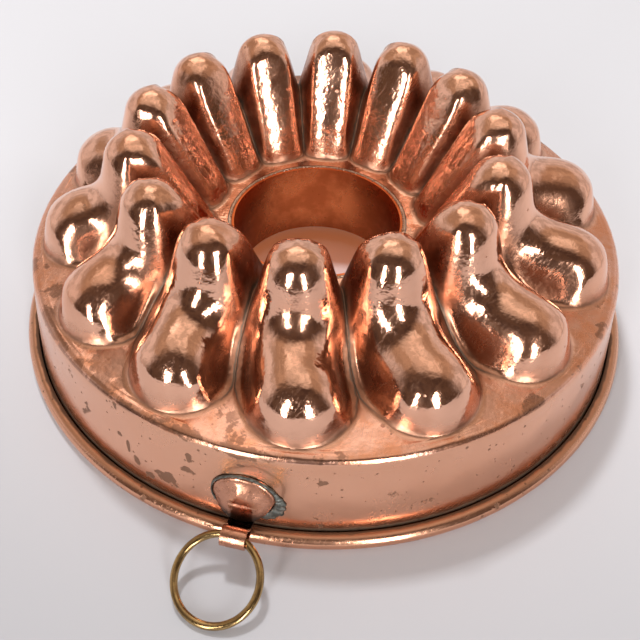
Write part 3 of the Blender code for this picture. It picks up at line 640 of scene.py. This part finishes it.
def buildWedge():
    c = crown
    topR, topZ = fingerTop()
    fingerEnd = topR - (topZ - c["collarHeight"]) / math.tan(math.radians(c["fingerSlope"]))
    radii, outline = wedgeRadii(fingerEnd), footOutline(fingerEnd)
    widths = np.where((radii > fingerEnd) & (radii < c["bulbEnd"]), lobeHalfWidth(radii, fingerEnd), 0.0)
    rows = [wedgeRow(r, width, outline) for r, width in zip(radii, widths)]
    lastRow = rows[-1][0]
    columns, angles = len(lastRow), np.arctan2(lastRow[:, 1], lastRow[:, 0])
    # the sheet turns over the edge and runs down as the skirt
    edge, top, wall, skirt = c["shoulderRadius"], c["shoulderHeight"], c["wallRadius"], c["skirtRadius"]
    turnedEdge = [(edge + 0.0011, top - 0.00018), (edge + 0.0018, top - 0.0007), (wall, top - 0.0016),
                  (wall + 0.00016, top - 0.0026), (skirt - 0.00002, c["skirtHeight"] + 0.0006),
                  (skirt + 0.00002, c["skirtHeight"])]
    for r, z in turnedEdge:
        points = np.stack([r * np.cos(angles), r * np.sin(angles), np.full(columns, z)], -1)
        far, flat = np.full(columns, c["farFromFoot"]), np.full(columns, c["cornerShare"])
        rows.append((points, far, flat, np.zeros(columns)))
    faces = [tuple(reversed(face)) for face in gridFaces(len(rows), columns)]
    places, *layers = (np.concatenate(part) for part in zip(*rows))
    mesh = bpy.data.meshes.new("lobeWedge")
    mesh.from_pydata(places.tolist(), [], faces)
    for label, values in zip(("footGap", "shoulderShare", "flankShare"), layers):
        mesh.attributes.new(label, "FLOAT", "POINT").data.foreach_set("value", values.astype(np.float32))
    if sum(polygon.normal.z for polygon in mesh.polygons) < 0:
        mesh.flip_normals()
    return linkObject("lobeWedge", mesh)


def newGeometryTree(name, sockets):
    tree = bpy.data.node_groups.new(name, "GeometryNodeTree")
    tree.interface.new_socket("Geometry", in_out="OUTPUT", socket_type="NodeSocketGeometry")
    tree.interface.new_socket("Geometry", in_out="INPUT", socket_type="NodeSocketGeometry")
    for label, kind in sockets.items():
        tree.interface.new_socket(label, in_out="INPUT", socket_type=kind)
    tree.interface.new_socket("Finish", in_out="INPUT", socket_type="NodeSocketMaterial")
    return tree, tree.nodes.new("NodeGroupInput").outputs


def geometryNode(tree, kind, inputs):
    return addNode(tree, "GeometryNode" + kind, None, inputs).outputs[0]


def endGeometry(tree, solid, offset, finish):
    moved = geometryNode(tree, "SetPosition", {"Geometry": solid, "Offset": offset})
    smooth = geometryNode(tree, "SetShadeSmooth", {"Geometry": moved})
    return endTree(tree, geometryNode(tree, "SetMaterial", {"Geometry": smooth, "Material": finish}))


def ringOfLobesTree():
    # sets the wedge round the axis, moves the knobs with the tube, and dents the sheet a little
    tree, given = newGeometryTree("ringOfLobes", {
        "Wedge": "NodeSocketObject", "Lobes": wholeKind, "First Angle": floatKind, "Axis Y": floatKind,
        "Tube Shift": floatKind, "Fade Start": floatKind, "Fade End": floatKind, "Dent Height": floatKind,
        "Dent Size": floatKind, "Top Drop": floatKind, "Seed": wholeKind})
    wedge = addNode(tree, "GeometryNodeObjectInfo", None, {"Object": given["Wedge"]}).outputs["Geometry"]
    points = geometryNode(tree, "Points", {"Count": given["Lobes"]})
    index = tree.nodes.new("GeometryNodeInputIndex").outputs[0]
    pitch = maths(tree, "DIVIDE", 2 * math.pi, given["Lobes"])
    turn = combine(tree, Z=maths(tree, "MULTIPLY_ADD", index, pitch, given["First Angle"]))
    rotation = addNode(tree, "FunctionNodeEulerToRotation", None, {0: turn}).outputs[0]
    copies = {"Points": points, "Instance": wedge, "Rotation": rotation}
    placed = geometryNode(tree, "InstanceOnPoints", copies)
    solid = geometryNode(tree, "RealizeInstances", {"Geometry": placed})
    merged = geometryNode(tree, "MergeByDistance", {"Geometry": solid, "Distance": 0.00001})
    position = tree.nodes.new("GeometryNodeInputPosition").outputs[0]
    radius = vectorMaths(tree, "LENGTH", vectorMaths(tree, "MULTIPLY", position, (1.0, 1.0, 0.0)))
    fade = remap(tree, radius, given["Fade Start"], given["Fade End"], 1.0, 0.0)
    sideways = maths(tree, "MULTIPLY", fade, given["Tube Shift"])
    dents = addNode(tree, "ShaderNodeTexNoise", {"noise_dimensions": "4D"}, {
        "Vector": position, "W": given["Seed"], "Scale": maths(tree, "DIVIDE", 1.0, given["Dent Size"]),
        "Detail": 2.0, "Roughness": 0.45}).outputs["Fac"]
    inner, outer = remap(tree, radius, *crown["dentInner"]), remap(tree, radius, *crown["dentOuter"])
    steady = maths(tree, "MULTIPLY", inner, outer)
    depth = maths(tree, "MULTIPLY", maths(tree, "SUBTRACT", dents, 0.5), given["Dent Height"])
    normal = tree.nodes.new("GeometryNodeInputNormal").outputs[0]
    dent = addNode(tree, "ShaderNodeVectorMath", {"operation": "SCALE"}, {
        0: normal, "Scale": maths(tree, "MULTIPLY", depth, steady)}).outputs[0]
    knobTop = remap(tree, separate(tree, position)[2], *crown["topFrom"])
    drop = maths(tree, "MULTIPLY", knobTop, given["Top Drop"])
    shift = combine(tree, X=sideways, Y=given["Axis Y"], Z=drop)
    return endGeometry(tree, merged, vectorMaths(tree, "ADD", dent, shift), given["Finish"])


def grown(name, tree, values):
    # runs a Geometry Nodes tree once and keeps its result as a plain mesh
    host = linkObject(name + "Host", bpy.data.meshes.new(name + "Host"))
    modifier = host.modifiers.new("grow", "NODES")
    modifier.node_group = tree
    for socket in tree.interface.items_tree:
        if socket.in_out == "INPUT" and socket.name in values:
            modifier[socket.identifier] = values[socket.name]
    bpy.context.view_layer.update()
    graph = bpy.context.evaluated_depsgraph_get()
    mesh = bpy.data.meshes.new_from_object(host.evaluated_get(graph), depsgraph=graph)
    mesh.name = name
    mesh.materials.clear()
    mesh.materials.append(values["Finish"])
    mesh.polygons.foreach_set("material_index", np.zeros(len(mesh.polygons), np.int32))
    bpy.data.objects.remove(host, do_unlink=True)
    return linkObject(name, mesh)


def buildCrown():
    c = crown
    wedge = buildWedge()
    obj = grown("lobedCrown", ringOfLobesTree(), {
        "Wedge": wedge, "Lobes": c["lobes"], "First Angle": math.radians(c["firstLobe"]), "Axis Y": axisY,
        "Tube Shift": c["tubeShift"], "Fade Start": c["fadeStart"], "Fade End": c["fadeEnd"],
        "Dent Height": c["dentHeight"], "Dent Size": c["dentSize"], "Top Drop": -c["topDrop"],
        "Seed": c["seed"], "Finish": finishes["crownCopper"]})
    bpy.data.objects.remove(wedge, do_unlink=True)
    mesh = obj.data
    for finishName in ("tinnedInside", "wallCopper", "tinnedInside"):  # inside, then the skirt and its inside
        mesh.materials.append(finishes[finishName])
    for polygon in mesh.polygons:
        if polygon.center.z < c["shoulderHeight"] - 0.0016:
            polygon.material_index = 2
    # open edges are sharp, so that the sheet's cut rims aren't shaded round
    loopEdges, edgeUses = np.empty(len(mesh.loops), np.int32), np.zeros(len(mesh.edges), np.int32)
    mesh.loops.foreach_get("edge_index", loopEdges)
    np.add.at(edgeUses, loopEdges, 1)
    mesh.edges.foreach_set("use_edge_sharp", edgeUses == 1)
    wall = obj.modifiers.new("sheet", "SOLIDIFY")
    wall.thickness, wall.offset, wall.material_offset = c["sheet"], -1.0, 1
    print("crown:", len(mesh.vertices), "points,", len(mesh.materials), "finishes")
    return obj


placeOn(buildCrown(), "mould", "polished_copper", "crown")

# Wall with its rolled rim, tube and seams

band = {
    "beadAt": 0.1220, "beadHeight": 0.0029, "beadRadius": 0.0030, "sheet": 0.0010, "topRadius": 0.1165,
    "topHeight": 0.0395, "skirtHeight": 0.0345, "lapTop": 0.0368, "lapLine": 0.00003, "curlEnd": 118,
    "gap": 0.0003, "innerFoot": 0.0055, "outerFoot": 0.0042, "wobble": 0.00022, "inset": 0.00010,
    "stillFoot": (0.0065, 0.012), "stillTop": (0.0335, 0.029), "wobbleTop": 0.034, "steps": 280}


def wallRadius(z):
    b = band
    foot = b["beadAt"] - b["beadRadius"] + b["sheet"]
    return foot + (b["topRadius"] - foot) / (b["topHeight"] - b["beadHeight"]) * (z - b["beadHeight"])


def turnedPiece(name, outline, steps, materials, centreX=0.0, wobble=None, sharpAngle=50, materialOf=None):
    points = []
    for i in range(steps):
        angle = 2 * math.pi * i / steps
        for r, z in outline:
            out = r + (wobble(angle, z) if wobble else 0.0)
            points.append((centreX + out * math.cos(angle), axisY + out * math.sin(angle), z))
    obj = meshObject(name, points, gridFaces(steps, len(outline), True, True), materials, sharpAngle)
    if materialOf:
        for polygon in obj.data.polygons:
            middle = polygon.center
            polygon.material_index = materialOf(math.hypot(middle.x - centreX, middle.y - axisY), middle.z)
    return obj


def bandOutline():
    b = band
    sheet, skirt, lapTop = b["sheet"], b["skirtHeight"], b["lapTop"]
    inside, bead, step = b["beadRadius"] - sheet, (b["beadAt"], b["beadHeight"]), sheet + b["gap"]
    flat, lapLine = math.asin(-b["beadHeight"] / b["beadRadius"]), skirt - b["lapLine"]
    curl = 2 * math.pi + math.radians(b["curlEnd"])
    outline = [(wallRadius(lapTop) - step - sheet, lapTop),
               (wallRadius(skirt) - step - sheet, skirt - 0.0006),
               (wallRadius(skirt) - sheet, skirt - 0.0013)]
    outline += [(wallRadius(z) - sheet, z) for z in np.linspace(skirt - 0.004, b["innerFoot"], 8)]
    outline += arcPoints(bead, b["beadRadius"], math.pi, math.pi - flat, 4)
    outline += arcPoints(bead, b["beadRadius"], 2 * math.pi + flat, curl, 16)
    outline += arcPoints(bead, inside, curl, math.pi, 14)
    outline += [(wallRadius(z), z) for z in np.linspace(b["outerFoot"], skirt - 0.0008, 14)]
    outline += [(wallRadius(lapLine), lapLine), (wallRadius(skirt) - step, lapLine)]
    outline += [(wallRadius(lapTop) - step, lapTop)]
    return outline


def bandWobble(angle, z):
    # hand-raised wall: long soft waves, weak where the crown laps it and where the bead stands on the table
    b = band
    waves = roundNoise(angle, 3.0, z * 60.0) + 0.5 * roundNoise(angle, 11.0, z * 90.0 + 5.0)
    free = float(ease(*b["stillFoot"], z) * ease(*b["stillTop"], z))
    swell = b["wobble"] * waves * (0.15 + 0.85 * free) if z < b["wobbleTop"] else 0.0
    return swell - (b["inset"] * (1.0 - free) if z < b["stillFoot"][0] else 0.0)


def bandMaterial(r, z):
    return 1 if z > 0.0075 and r < wallRadius(z) - band["sheet"] / 2 else 0


def buildBand():
    materials = [finishes["wallCopper"], finishes["tinnedInside"]]
    return turnedPiece("rolledBand", bandOutline(), band["steps"], materials, wobble=bandWobble,
                       materialOf=bandMaterial)


placeOn(buildBand(), "mould", "polished_copper", "side_band")

tube = {"topRadius": 0.0338, "footRadius": 0.0328, "footHeight": 0.0090, "topHeight": 0.0410, "sheet": 0.0010,
        "rows": 12, "steps": 180}


def boreRadius(z):
    t = tube
    share = (z - t["footHeight"]) / (t["topHeight"] - t["footHeight"])
    return t["footRadius"] + (t["topRadius"] - t["footRadius"]) * share


def tubeMaterial(r, z):
    return 1 if r > boreRadius(z) + tube["sheet"] * 0.6 else 0


def buildTube():
    t = tube
    heights = np.linspace(t["footHeight"], t["topHeight"], t["rows"])
    outline = [(boreRadius(z) + t["sheet"], z) for z in heights] + [(boreRadius(z), z) for z in heights[::-1]]
    return turnedPiece("centralTube", outline, t["steps"], [finishes["tubeCopper"], finishes["tinnedInside"]],
                       centreX=crown["tubeShift"], materialOf=tubeMaterial)


placeOn(buildTube(), "mould", "dull_copper", "central_tube")
print("wall, rim and tube built")

seams = {  # CAD nodes that are shown as they are: their finish and slot
    "rim_wire": ("blackWire", "iron"), "crown_seam": ("brazedSeam", "brazing"),
    "tube_seam": ("tinSolder", "lead_solder")}
for nodeName, (finishName, slotName) in seams.items():
    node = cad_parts[nodeName]
    node.data.materials.clear()
    node.data.materials.append(finishes[finishName])

solderBeads = {
    "Count": 150, "Ring Radius": 0.0351, "Height": 0.0410, "Size": 0.00045, "Spread": 0.6, "Seed": 5}


def solderBeadsTree():
    # a ring of small lumps of uneven size
    tree, given = newGeometryTree("solderBeads", {
        "Count": wholeKind, "Ring Radius": floatKind, "Height": floatKind, "Centre": vectorKind,
        "Size": floatKind, "Spread": floatKind, "Seed": wholeKind})
    circle = geometryNode(tree, "MeshCircle", {"Vertices": given["Count"], "Radius": given["Ring Radius"]})
    scale = addNode(tree, "FunctionNodeRandomValue", {"data_type": "FLOAT"}, {
        2: maths(tree, "SUBTRACT", 1.0, given["Spread"]), 3: maths(tree, "ADD", 1.0, given["Spread"]),
        "Seed": given["Seed"]}).outputs[1]
    lump = geometryNode(tree, "MeshIcoSphere", {"Radius": given["Size"], "Subdivisions": 2})
    placed = geometryNode(tree, "InstanceOnPoints", {"Points": circle, "Instance": lump, "Scale": scale})
    solid = geometryNode(tree, "RealizeInstances", {"Geometry": placed})
    offset = vectorMaths(tree, "ADD", combine(tree, Z=given["Height"]), given["Centre"])
    return endGeometry(tree, solid, offset, given["Finish"])


collarCentre = (crown["tubeShift"], axisY, 0.0)
collarSolder = grown("collarSolder", solderBeadsTree(), {
    **solderBeads, "Centre": collarCentre, "Finish": finishes["tinSolder"]})
placeOn(collarSolder, "mould", "lead_solder")
print("seams dressed,", solderBeads["Count"], "solder lumps round the collar")

# Hanger: folded strap, oval plate, solder and brass ring

hanger = {
    "strapSheet": 0.0008, "strapWidth": 0.0085, "tailHeight": 0.0178, "neckHeight": 0.0091,
    "loopAt": 0.1300, "loopRadius": 0.00305, "bend": 0.0027, "leaveAngle": 160,
    "wallGap": 0.0004, "layerGap": 0.0003, "softEdge": 0.00012,
    "plateSheet": 0.0008, "plateHalfWidth": 0.0105, "plateHalfHeight": 0.0088, "plateHeight": 0.0195,
    "bulge": 0.0024, "bulgeFrom": (0.44, 1.02), "tailCover": 0.0035, "imprint": 0.00035,
    "imprintSide": (0.0050, 0.0038), "imprintTop": (0.0012, -0.0002), "plateUneven": 0.00012,
    "plateRings": 22, "plateSteps": 96, "plateRound": 0.06,
    "solderWidth": 0.0006, "solderBlob": 0.0042, "solderHeight": 0.0008, "solderGap": 0.0003,
    "solderFrom": -76, "solderTo": 250, "blobAt": -28, "blobSpread": 36,
    "solderSteps": 150, "solderAcross": 10}


def strapPath():
    # up the wall, round the bend, round the loop and back over the first layer
    h = hanger
    neck, bend, loopRadius = h["neckHeight"], h["bend"], h["loopRadius"]
    rise = band["topHeight"] - band["beadHeight"]
    lean = math.atan2(wallRadius(band["beadHeight"]) - wallRadius(band["topHeight"]), rise)
    bendZ = neck + bend
    tailR = wallRadius(bendZ) + h["wallGap"] + h["strapSheet"] / 2
    bendAt, loopAt = (tailR + bend, bendZ), (h["loopAt"], neck + loopRadius)
    layer, leave = h["strapSheet"] + h["layerGap"], math.radians(h["leaveAngle"])
    leaveR, leaveZ = arcPoints(loopAt, loopRadius, leave, leave, 1)[0]
    backRadius = (leaveZ - neck - layer) / (1.0 - math.sin(leave))
    backAt = (leaveR + backRadius * math.cos(leave), leaveZ + backRadius * math.sin(leave))
    path = [(tailR - (h["tailHeight"] - bendZ) * math.tan(lean), h["tailHeight"])]
    path += arcPoints(bendAt, bend, math.pi + lean, 1.5 * math.pi, 10)
    path += arcPoints(loopAt, loopRadius, -math.pi / 2, leave, 36)
    path += arcPoints(backAt, backRadius, leave - math.pi, -math.pi / 2, 8)[1:]
    path += arcPoints(bendAt, bend - layer, 1.5 * math.pi, math.pi + lean, 8)
    path += [(path[-1][0] - (h["tailHeight"] - path[-1][1]) * math.tan(lean), h["tailHeight"])]
    return path


def buildStrap():
    path, thickness, half = strapPath(), hanger["strapSheet"], hanger["strapWidth"] / 2
    left, right = [], []
    for i, (r, z) in enumerate(path):
        before, after = path[max(i - 1, 0)], path[min(i + 1, len(path) - 1)]
        dr, dz = after[0] - before[0], after[1] - before[1]
        size = math.hypot(dr, dz)
        right.append((r + dz / size * thickness / 2, z - dr / size * thickness / 2))
        left.append((r - dz / size * thickness / 2, z + dr / size * thickness / 2))
    count = len(path)
    points = [(x, axisY - r, z) for x in (-half, half) for line in (right, left) for r, z in line]
    faces = []
    for i in range(count - 1):
        for side in (0, 2 * count):
            faces.append((side + i, side + i + 1, side + count + i + 1, side + count + i))
        for line in (0, count):
            faces.append((line + i, line + i + 1, 2 * count + line + i + 1, 2 * count + line + i))
    for end in (0, count - 1):
        faces.append((end, count + end, 3 * count + end, 2 * count + end))
    strap = meshObject("hangerStrap", points, faces, [finishes["hangerCopper"]], 35)
    edge = strap.modifiers.new("softEdges", "BEVEL")
    edge.width, edge.segments = hanger["softEdge"], 2
    edge.limit_method, edge.angle_limit = "ANGLE", math.radians(50)
    return strap


def onWall(along, z, out):
    radius = wallRadius(z)
    angle = along / radius - math.pi / 2
    return ((radius + out) * math.cos(angle), axisY + (radius + out) * math.sin(angle), z)


def plateLift(along, z):
    # the oval plate swells over the strap's tails, and their square end shows through it
    h = hanger
    tail = h["tailHeight"] - h["tailCover"]
    above = max(z - tail, 0.0) / (h["plateHeight"] + h["plateHalfHeight"] - tail)
    swell = 1.0 - float(ease(*h["bulgeFrom"], math.hypot(along / h["plateHalfWidth"], above)))
    top, bottom = (h["tailHeight"] + reach for reach in h["imprintTop"])
    tails = ease(*h["imprintSide"], abs(along)) * ease(top, bottom, z)
    uneven = h["plateUneven"] * noise.noise(Vector((along * 400.0, z * 400.0, 2.0)))
    return h["wallGap"] + h["bulge"] * swell + h["imprint"] * float(tails) + uneven


def buildPlate():
    h, rings, steps = hanger, hanger["plateRings"], hanger["plateSteps"]
    points, faces = [], []
    for top in (True, False):
        base, middle = len(points), h["plateHeight"]
        points.append(onWall(0.0, middle, plateLift(0.0, middle) + (h["plateSheet"] if top else 0.0)))
        for n in range(rings):
            share = (n + 1) / rings
            past = max((share - 1.0 + h["plateRound"]) / h["plateRound"], 0.0)  # on the rounded edge
            roll = math.sqrt(max(1.0 - past**2, 0.0))
            thick = h["plateSheet"] * (0.35 + 0.65 * roll) if top else 0.0
            for i in range(steps):
                angle = 2 * math.pi * i / steps
                wave = 1.0 + 0.012 * math.sin(3 * angle + 1.0) + 0.008 * math.sin(7 * angle)
                along = h["plateHalfWidth"] * share * wave * math.cos(angle)
                z = middle + h["plateHalfHeight"] * share * wave * math.sin(angle)
                points.append(onWall(along, z, plateLift(along, z) + thick))
        faces += [(base, base + 1 + i, base + 1 + (i + 1) % steps) for i in range(steps)]
        for face in gridFaces(rings, steps, False, True):
            faces.append(tuple(base + 1 + corner for corner in face))
    outer, under = 1 + (rings - 1) * steps, 2 + rings * steps + (rings - 1) * steps
    for i in range(steps):
        j = (i + 1) % steps
        faces.append((outer + i, under + i, under + j, outer + j))
    return meshObject("hangerPlate", points, faces, [finishes["hangerCopper"]], 60)


def buildHangerSolder():
    # lead run along the plate's edge, lumpy, open over the strap and thick at the lower right
    h, steps, across = hanger, hanger["solderSteps"], hanger["solderAcross"]
    start, end, gap = math.radians(h["solderFrom"]), math.radians(h["solderTo"]), h["solderGap"]
    points = []
    for i in range(steps + 1):
        angle = start + (end - start) * i / steps
        blob = math.exp(-(((angle - math.radians(h["blobAt"])) / math.radians(h["blobSpread"])) ** 2))
        lump, fine = roundNoise(angle, 6.0, 1.0), roundNoise(angle, 22.0, 4.0)
        width = (h["solderWidth"] + h["solderBlob"] * blob) * (1.0 + 0.30 * lump + 0.12 * fine)
        height = h["solderHeight"] * (1.0 + 0.25 * lump + 0.2 * fine)
        taper = float(ease(0, 5, i) * ease(steps, steps - 5, i)) * 0.8 + 0.2
        for k in range(across + 1):  # the last point of each row lies under the plate's edge
            t = k / (across - 1) if k < across else 0.0
            up = math.sin(math.pi * (0.30 + 0.70 * t)) ** 0.8 if k < across - 1 else 0.0
            crumple = 1.0 + 0.18 * noise.noise(Vector((angle * 9.0, t * 3.0, 8.0)))
            reach = gap + width * t * taper
            along = (h["plateHalfWidth"] + reach) * math.cos(angle)
            z = h["plateHeight"] + (h["plateHalfHeight"] + reach) * math.sin(angle)
            points.append(onWall(along, z, gap + height * up * crumple * taper))
    ring = across + 1
    faces = gridFaces(steps + 1, ring, False, True)
    faces += [tuple(range(ring)), tuple(range(steps * ring, (steps + 1) * ring))]
    return meshObject("hangerSolder", points, faces, [finishes["leadSolder"]])


brassRing = {"steps": 160, "around": 18, "inset": 0.0001, "uneven": 0.00004}


def buildRing():
    # drawn brass wire, bent round and a little uneven, in the CAD ring's own plane
    b = brassRing
    cad = np.array([v.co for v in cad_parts["brass_ring"].data.vertices])
    mean, middle = cad.mean(0), (cad.min(0) + cad.max(0)) / 2
    normal, first, second = np.linalg.eigh(np.cov((cad - mean).T))[1].T
    centre = mean + normal * ((middle - mean) @ normal)
    offset = cad - centre
    reach = np.linalg.norm(offset - np.outer(offset @ normal, normal), axis=1)
    radius, wire = (reach.min() + reach.max()) / 2, (reach.max() - reach.min()) / 2 - b["inset"]
    points = []
    for i in range(b["steps"]):
        angle = 2 * math.pi * i / b["steps"]
        out = math.cos(angle) * first + math.sin(angle) * second
        thick = wire + b["uneven"] * roundNoise(angle, 5.0, 0.0)
        for k in range(b["around"]):
            turn = 2 * math.pi * k / b["around"]
            points.append(centre + out * (radius + thick * math.cos(turn)) + normal * thick * math.sin(turn))
    faces = gridFaces(b["steps"], b["around"], True, True)
    return meshObject("hangingRing", points, faces, [finishes["agedBrass"]])


placeOn(buildStrap(), "mould", "polished_copper", "hanger_strap")
placeOn(buildPlate(), "mould", "polished_copper", "hanger_plate")
placeOn(buildHangerSolder(), "mould", "lead_solder", "hanger_solder")
placeOn(buildRing(), "ring", "brass", "brass_ring")
print("hanger and ring built")

# Floor, light and camera

studio = {
    "floor": (0.685, 0.715, 0.785, 1), "nearFloor": (0.335, 0.348, 0.385, 1),
    "backdrop": (0.84, 0.83, 0.85, 1), "floorReach": 4.0, "floorRoughness": 0.85,
    "tableEdge": -0.44, "darkFront": (-0.32, 0.08), "farFrom": (0.7, 2.4), "farGlow": 0.62,
    "floorGlow": (0.85, 0.95, 1.0, 1), "glowFrom": (-0.22, 0.06), "glowStrength": 0.035,
    "tubeGlow": (1.0, 0.28, 0.10, 1), "tubeReach": (0.035, 0.004), "tubeStrength": 0.30,
    "pale": (0.77, 0.72, 0.71, 1), "tan": (0.53, 0.41, 0.31, 1), "tanFrom": (0.42, 0.68),
    "roof": (0.98, 0.86, 0.74, 1), "roofFrom": (0.84, 0.93),
    "glow": (1.7, 1.5, 1.32, 1), "glowAt": (-0.19, 0.53, 0.826), "glowWithin": (0.935, 0.985),
    "room": (0.070, 0.048, 0.038, 1), "roomFrom": (0.02, 0.42), "towardsCamera": (0.21, -0.98, 0.0),
    "beams": (0.17, 0.118, 0.082, 1), "beamScale": 4.5, "beamFrom": (0.42, 0.58), "beamCover": 0.40}


def buildFloor():
    s = studio
    material, tree, shader, place = startMaterial("paleFloor", metallic=0.0)
    shader.inputs["Roughness"].default_value = s["floorRoughness"]
    lightPath = tree.nodes.new("ShaderNodeLightPath").outputs
    seen, reflected = lightPath["Is Camera Ray"], lightPath["Is Glossy Ray"]
    depth = separate(tree, place)[1]
    # painted shade: to the camera the floor darkens towards the front, and to all other rays it stays at
    # least half light
    halfLight = maths(tree, "MULTIPLY_ADD", seen, -0.5, 0.5)
    light = maths(tree, "MAXIMUM", remap(tree, depth, *s["darkFront"], smooth=False), halfLight)
    colour = mixColours(tree, light, s["nearFloor"], s["floor"])
    colour = paintOver(tree, colour, softNoise(tree, place, Scale=6.0, Detail=6.0), 0.06, s["nearFloor"])
    tree.links.new(colour, shader.inputs["Base Color"])
    # in the copper's reflections the table ends a little way in front, and the dark room begins
    pastEdge = remap(tree, depth, s["tableEdge"] + 0.06, s["tableEdge"])
    alpha = maths(tree, "SUBTRACT", 1.0, maths(tree, "MULTIPLY", pastEdge, reflected))
    tree.links.new(alpha, shader.inputs["Alpha"])
    # the copper lights the table under the tube, and far off the floor goes over into the backdrop
    fromTube = vectorMaths(tree, "DISTANCE", place, collarCentre)
    underTube = remap(tree, fromTube, *(tube["footRadius"] + reach for reach in s["tubeReach"]))
    farOff = remap(tree, fromTube, *s["farFrom"])
    glowColour = mixColours(tree, underTube, s["floorGlow"], s["tubeGlow"])
    glowColour = mixColours(tree, farOff, glowColour, s["backdrop"])
    tree.links.new(glowColour, shader.inputs["Emission Color"])
    # painted light: to the camera the floor glows faintly towards the back
    strength = remap(tree, depth, *s["glowFrom"], 0.0, s["glowStrength"])
    for mask, share in ((underTube, s["tubeStrength"]), (farOff, s["farGlow"])):
        strength = maths(tree, "MAXIMUM", strength, maths(tree, "MULTIPLY", mask, share))
    backfacing = tree.nodes.new("ShaderNodeNewGeometry").outputs["Backfacing"]
    fromAbove = maths(tree, "MULTIPLY", seen, maths(tree, "SUBTRACT", 1.0, backfacing))
    tree.links.new(maths(tree, "MULTIPLY", strength, fromAbove), shader.inputs["Emission Strength"])
    r = s["floorReach"]
    mesh = bpy.data.meshes.new("floor")
    mesh.from_pydata([(-r, -r, 0), (r, -r, 0), (r, r, 0), (-r, r, 0)], [], [(0, 1, 2, 3)])
    mesh.materials.append(material)
    return linkObject("floor", mesh)


def buildWorld():
    # what the copper reflects: a pale room with a tan wall, a lit ceiling and a dark side in front
    s = studio
    world = bpy.data.worlds.new("studio")
    bpy.context.scene.world = world
    world.use_nodes = True
    tree = world.node_tree
    direction = tree.nodes.new("ShaderNodeTexCoord").outputs["Generated"]
    height = separate(tree, direction)[2]
    front = vectorMaths(tree, "DOT_PRODUCT", direction, s["towardsCamera"])
    glow = vectorMaths(tree, "DOT_PRODUCT", direction, s["glowAt"])
    beams = softNoise(tree, direction, Scale=s["beamScale"], Detail=3.0)
    sky = mixColours(tree, remap(tree, height, *s["tanFrom"]), s["pale"], s["tan"])
    sky = mixColours(tree, remap(tree, height, *s["roofFrom"]), sky, s["roof"])
    sky = mixColours(tree, remap(tree, glow, *s["glowWithin"]), sky, s["glow"])
    sky = mixColours(tree, remap(tree, front, *s["roomFrom"]), sky, s["room"])
    sky = mixColours(tree, remap(tree, beams, *s["beamFrom"], 0.0, s["beamCover"]), sky, s["beams"])
    cameraRay = tree.nodes.new("ShaderNodeLightPath").outputs["Is Camera Ray"]
    tree.links.new(mixColours(tree, cameraRay, sky, s["backdrop"]), tree.nodes["Background"].inputs["Color"])


softboxes = {
    "keyBox": {  # lays the shadows, with no hot spots on the lobes
        "place": (-0.44, 0.63, 1.61), "target": (0.0, 0.0, 0.04), "size": (0.20, 0.20), "watts": 17.0,
        "colour": (1.0, 0.97, 0.94), "reflected": False},
    "leftBox": {
        "place": (-0.50, -2.025, 0.56), "target": (0.0, 0.0, 0.06), "size": (0.35, 1.60), "watts": 30.0,
        "colour": (1.0, 0.98, 0.96), "reflected": True},
    "rightBox": {
        "place": (1.11, -1.74, 0.56), "target": (0.0, 0.0, 0.06), "size": (0.34, 1.60), "watts": 30.0,
        "colour": (1.0, 0.98, 0.96), "reflected": True}}


def placeLamp(name, place, target, size, watts, colour, reflected):
    data = bpy.data.lights.new(name, "AREA")
    data.shape, (data.size, data.size_y) = "RECTANGLE", size
    data.energy, data.color = watts, colour
    lamp = linkObject(name, data)
    lamp.location = place
    lamp.rotation_euler = (Vector(target) - Vector(place)).to_track_quat("-Z", "Y").to_euler()
    lamp.visible_glossy = reflected


view = {"place": (0.05615, -0.25511, 0.2713), "turn": (47.036, -0.546, 13.712), "lens": 49.7228,
        "shiftX": 0.02039, "shiftY": -0.07973}


def placeCamera():
    data = bpy.data.cameras.new("photoView")
    data.sensor_width, data.lens, data.clip_start = 36.0, view["lens"], 0.01
    data.shift_x, data.shift_y = view["shiftX"], view["shiftY"]
    camera = linkObject("photoView", data)
    camera.location = view["place"]
    camera.rotation_euler = [math.radians(degrees) for degrees in view["turn"]]
    return camera


buildFloor()
buildWorld()
for name, settings in softboxes.items():
    placeLamp(name, **settings)
bpy.context.scene.camera = placeCamera()
bpy.context.scene.view_settings.view_transform = "Standard"
print("stage, lamps and camera set")
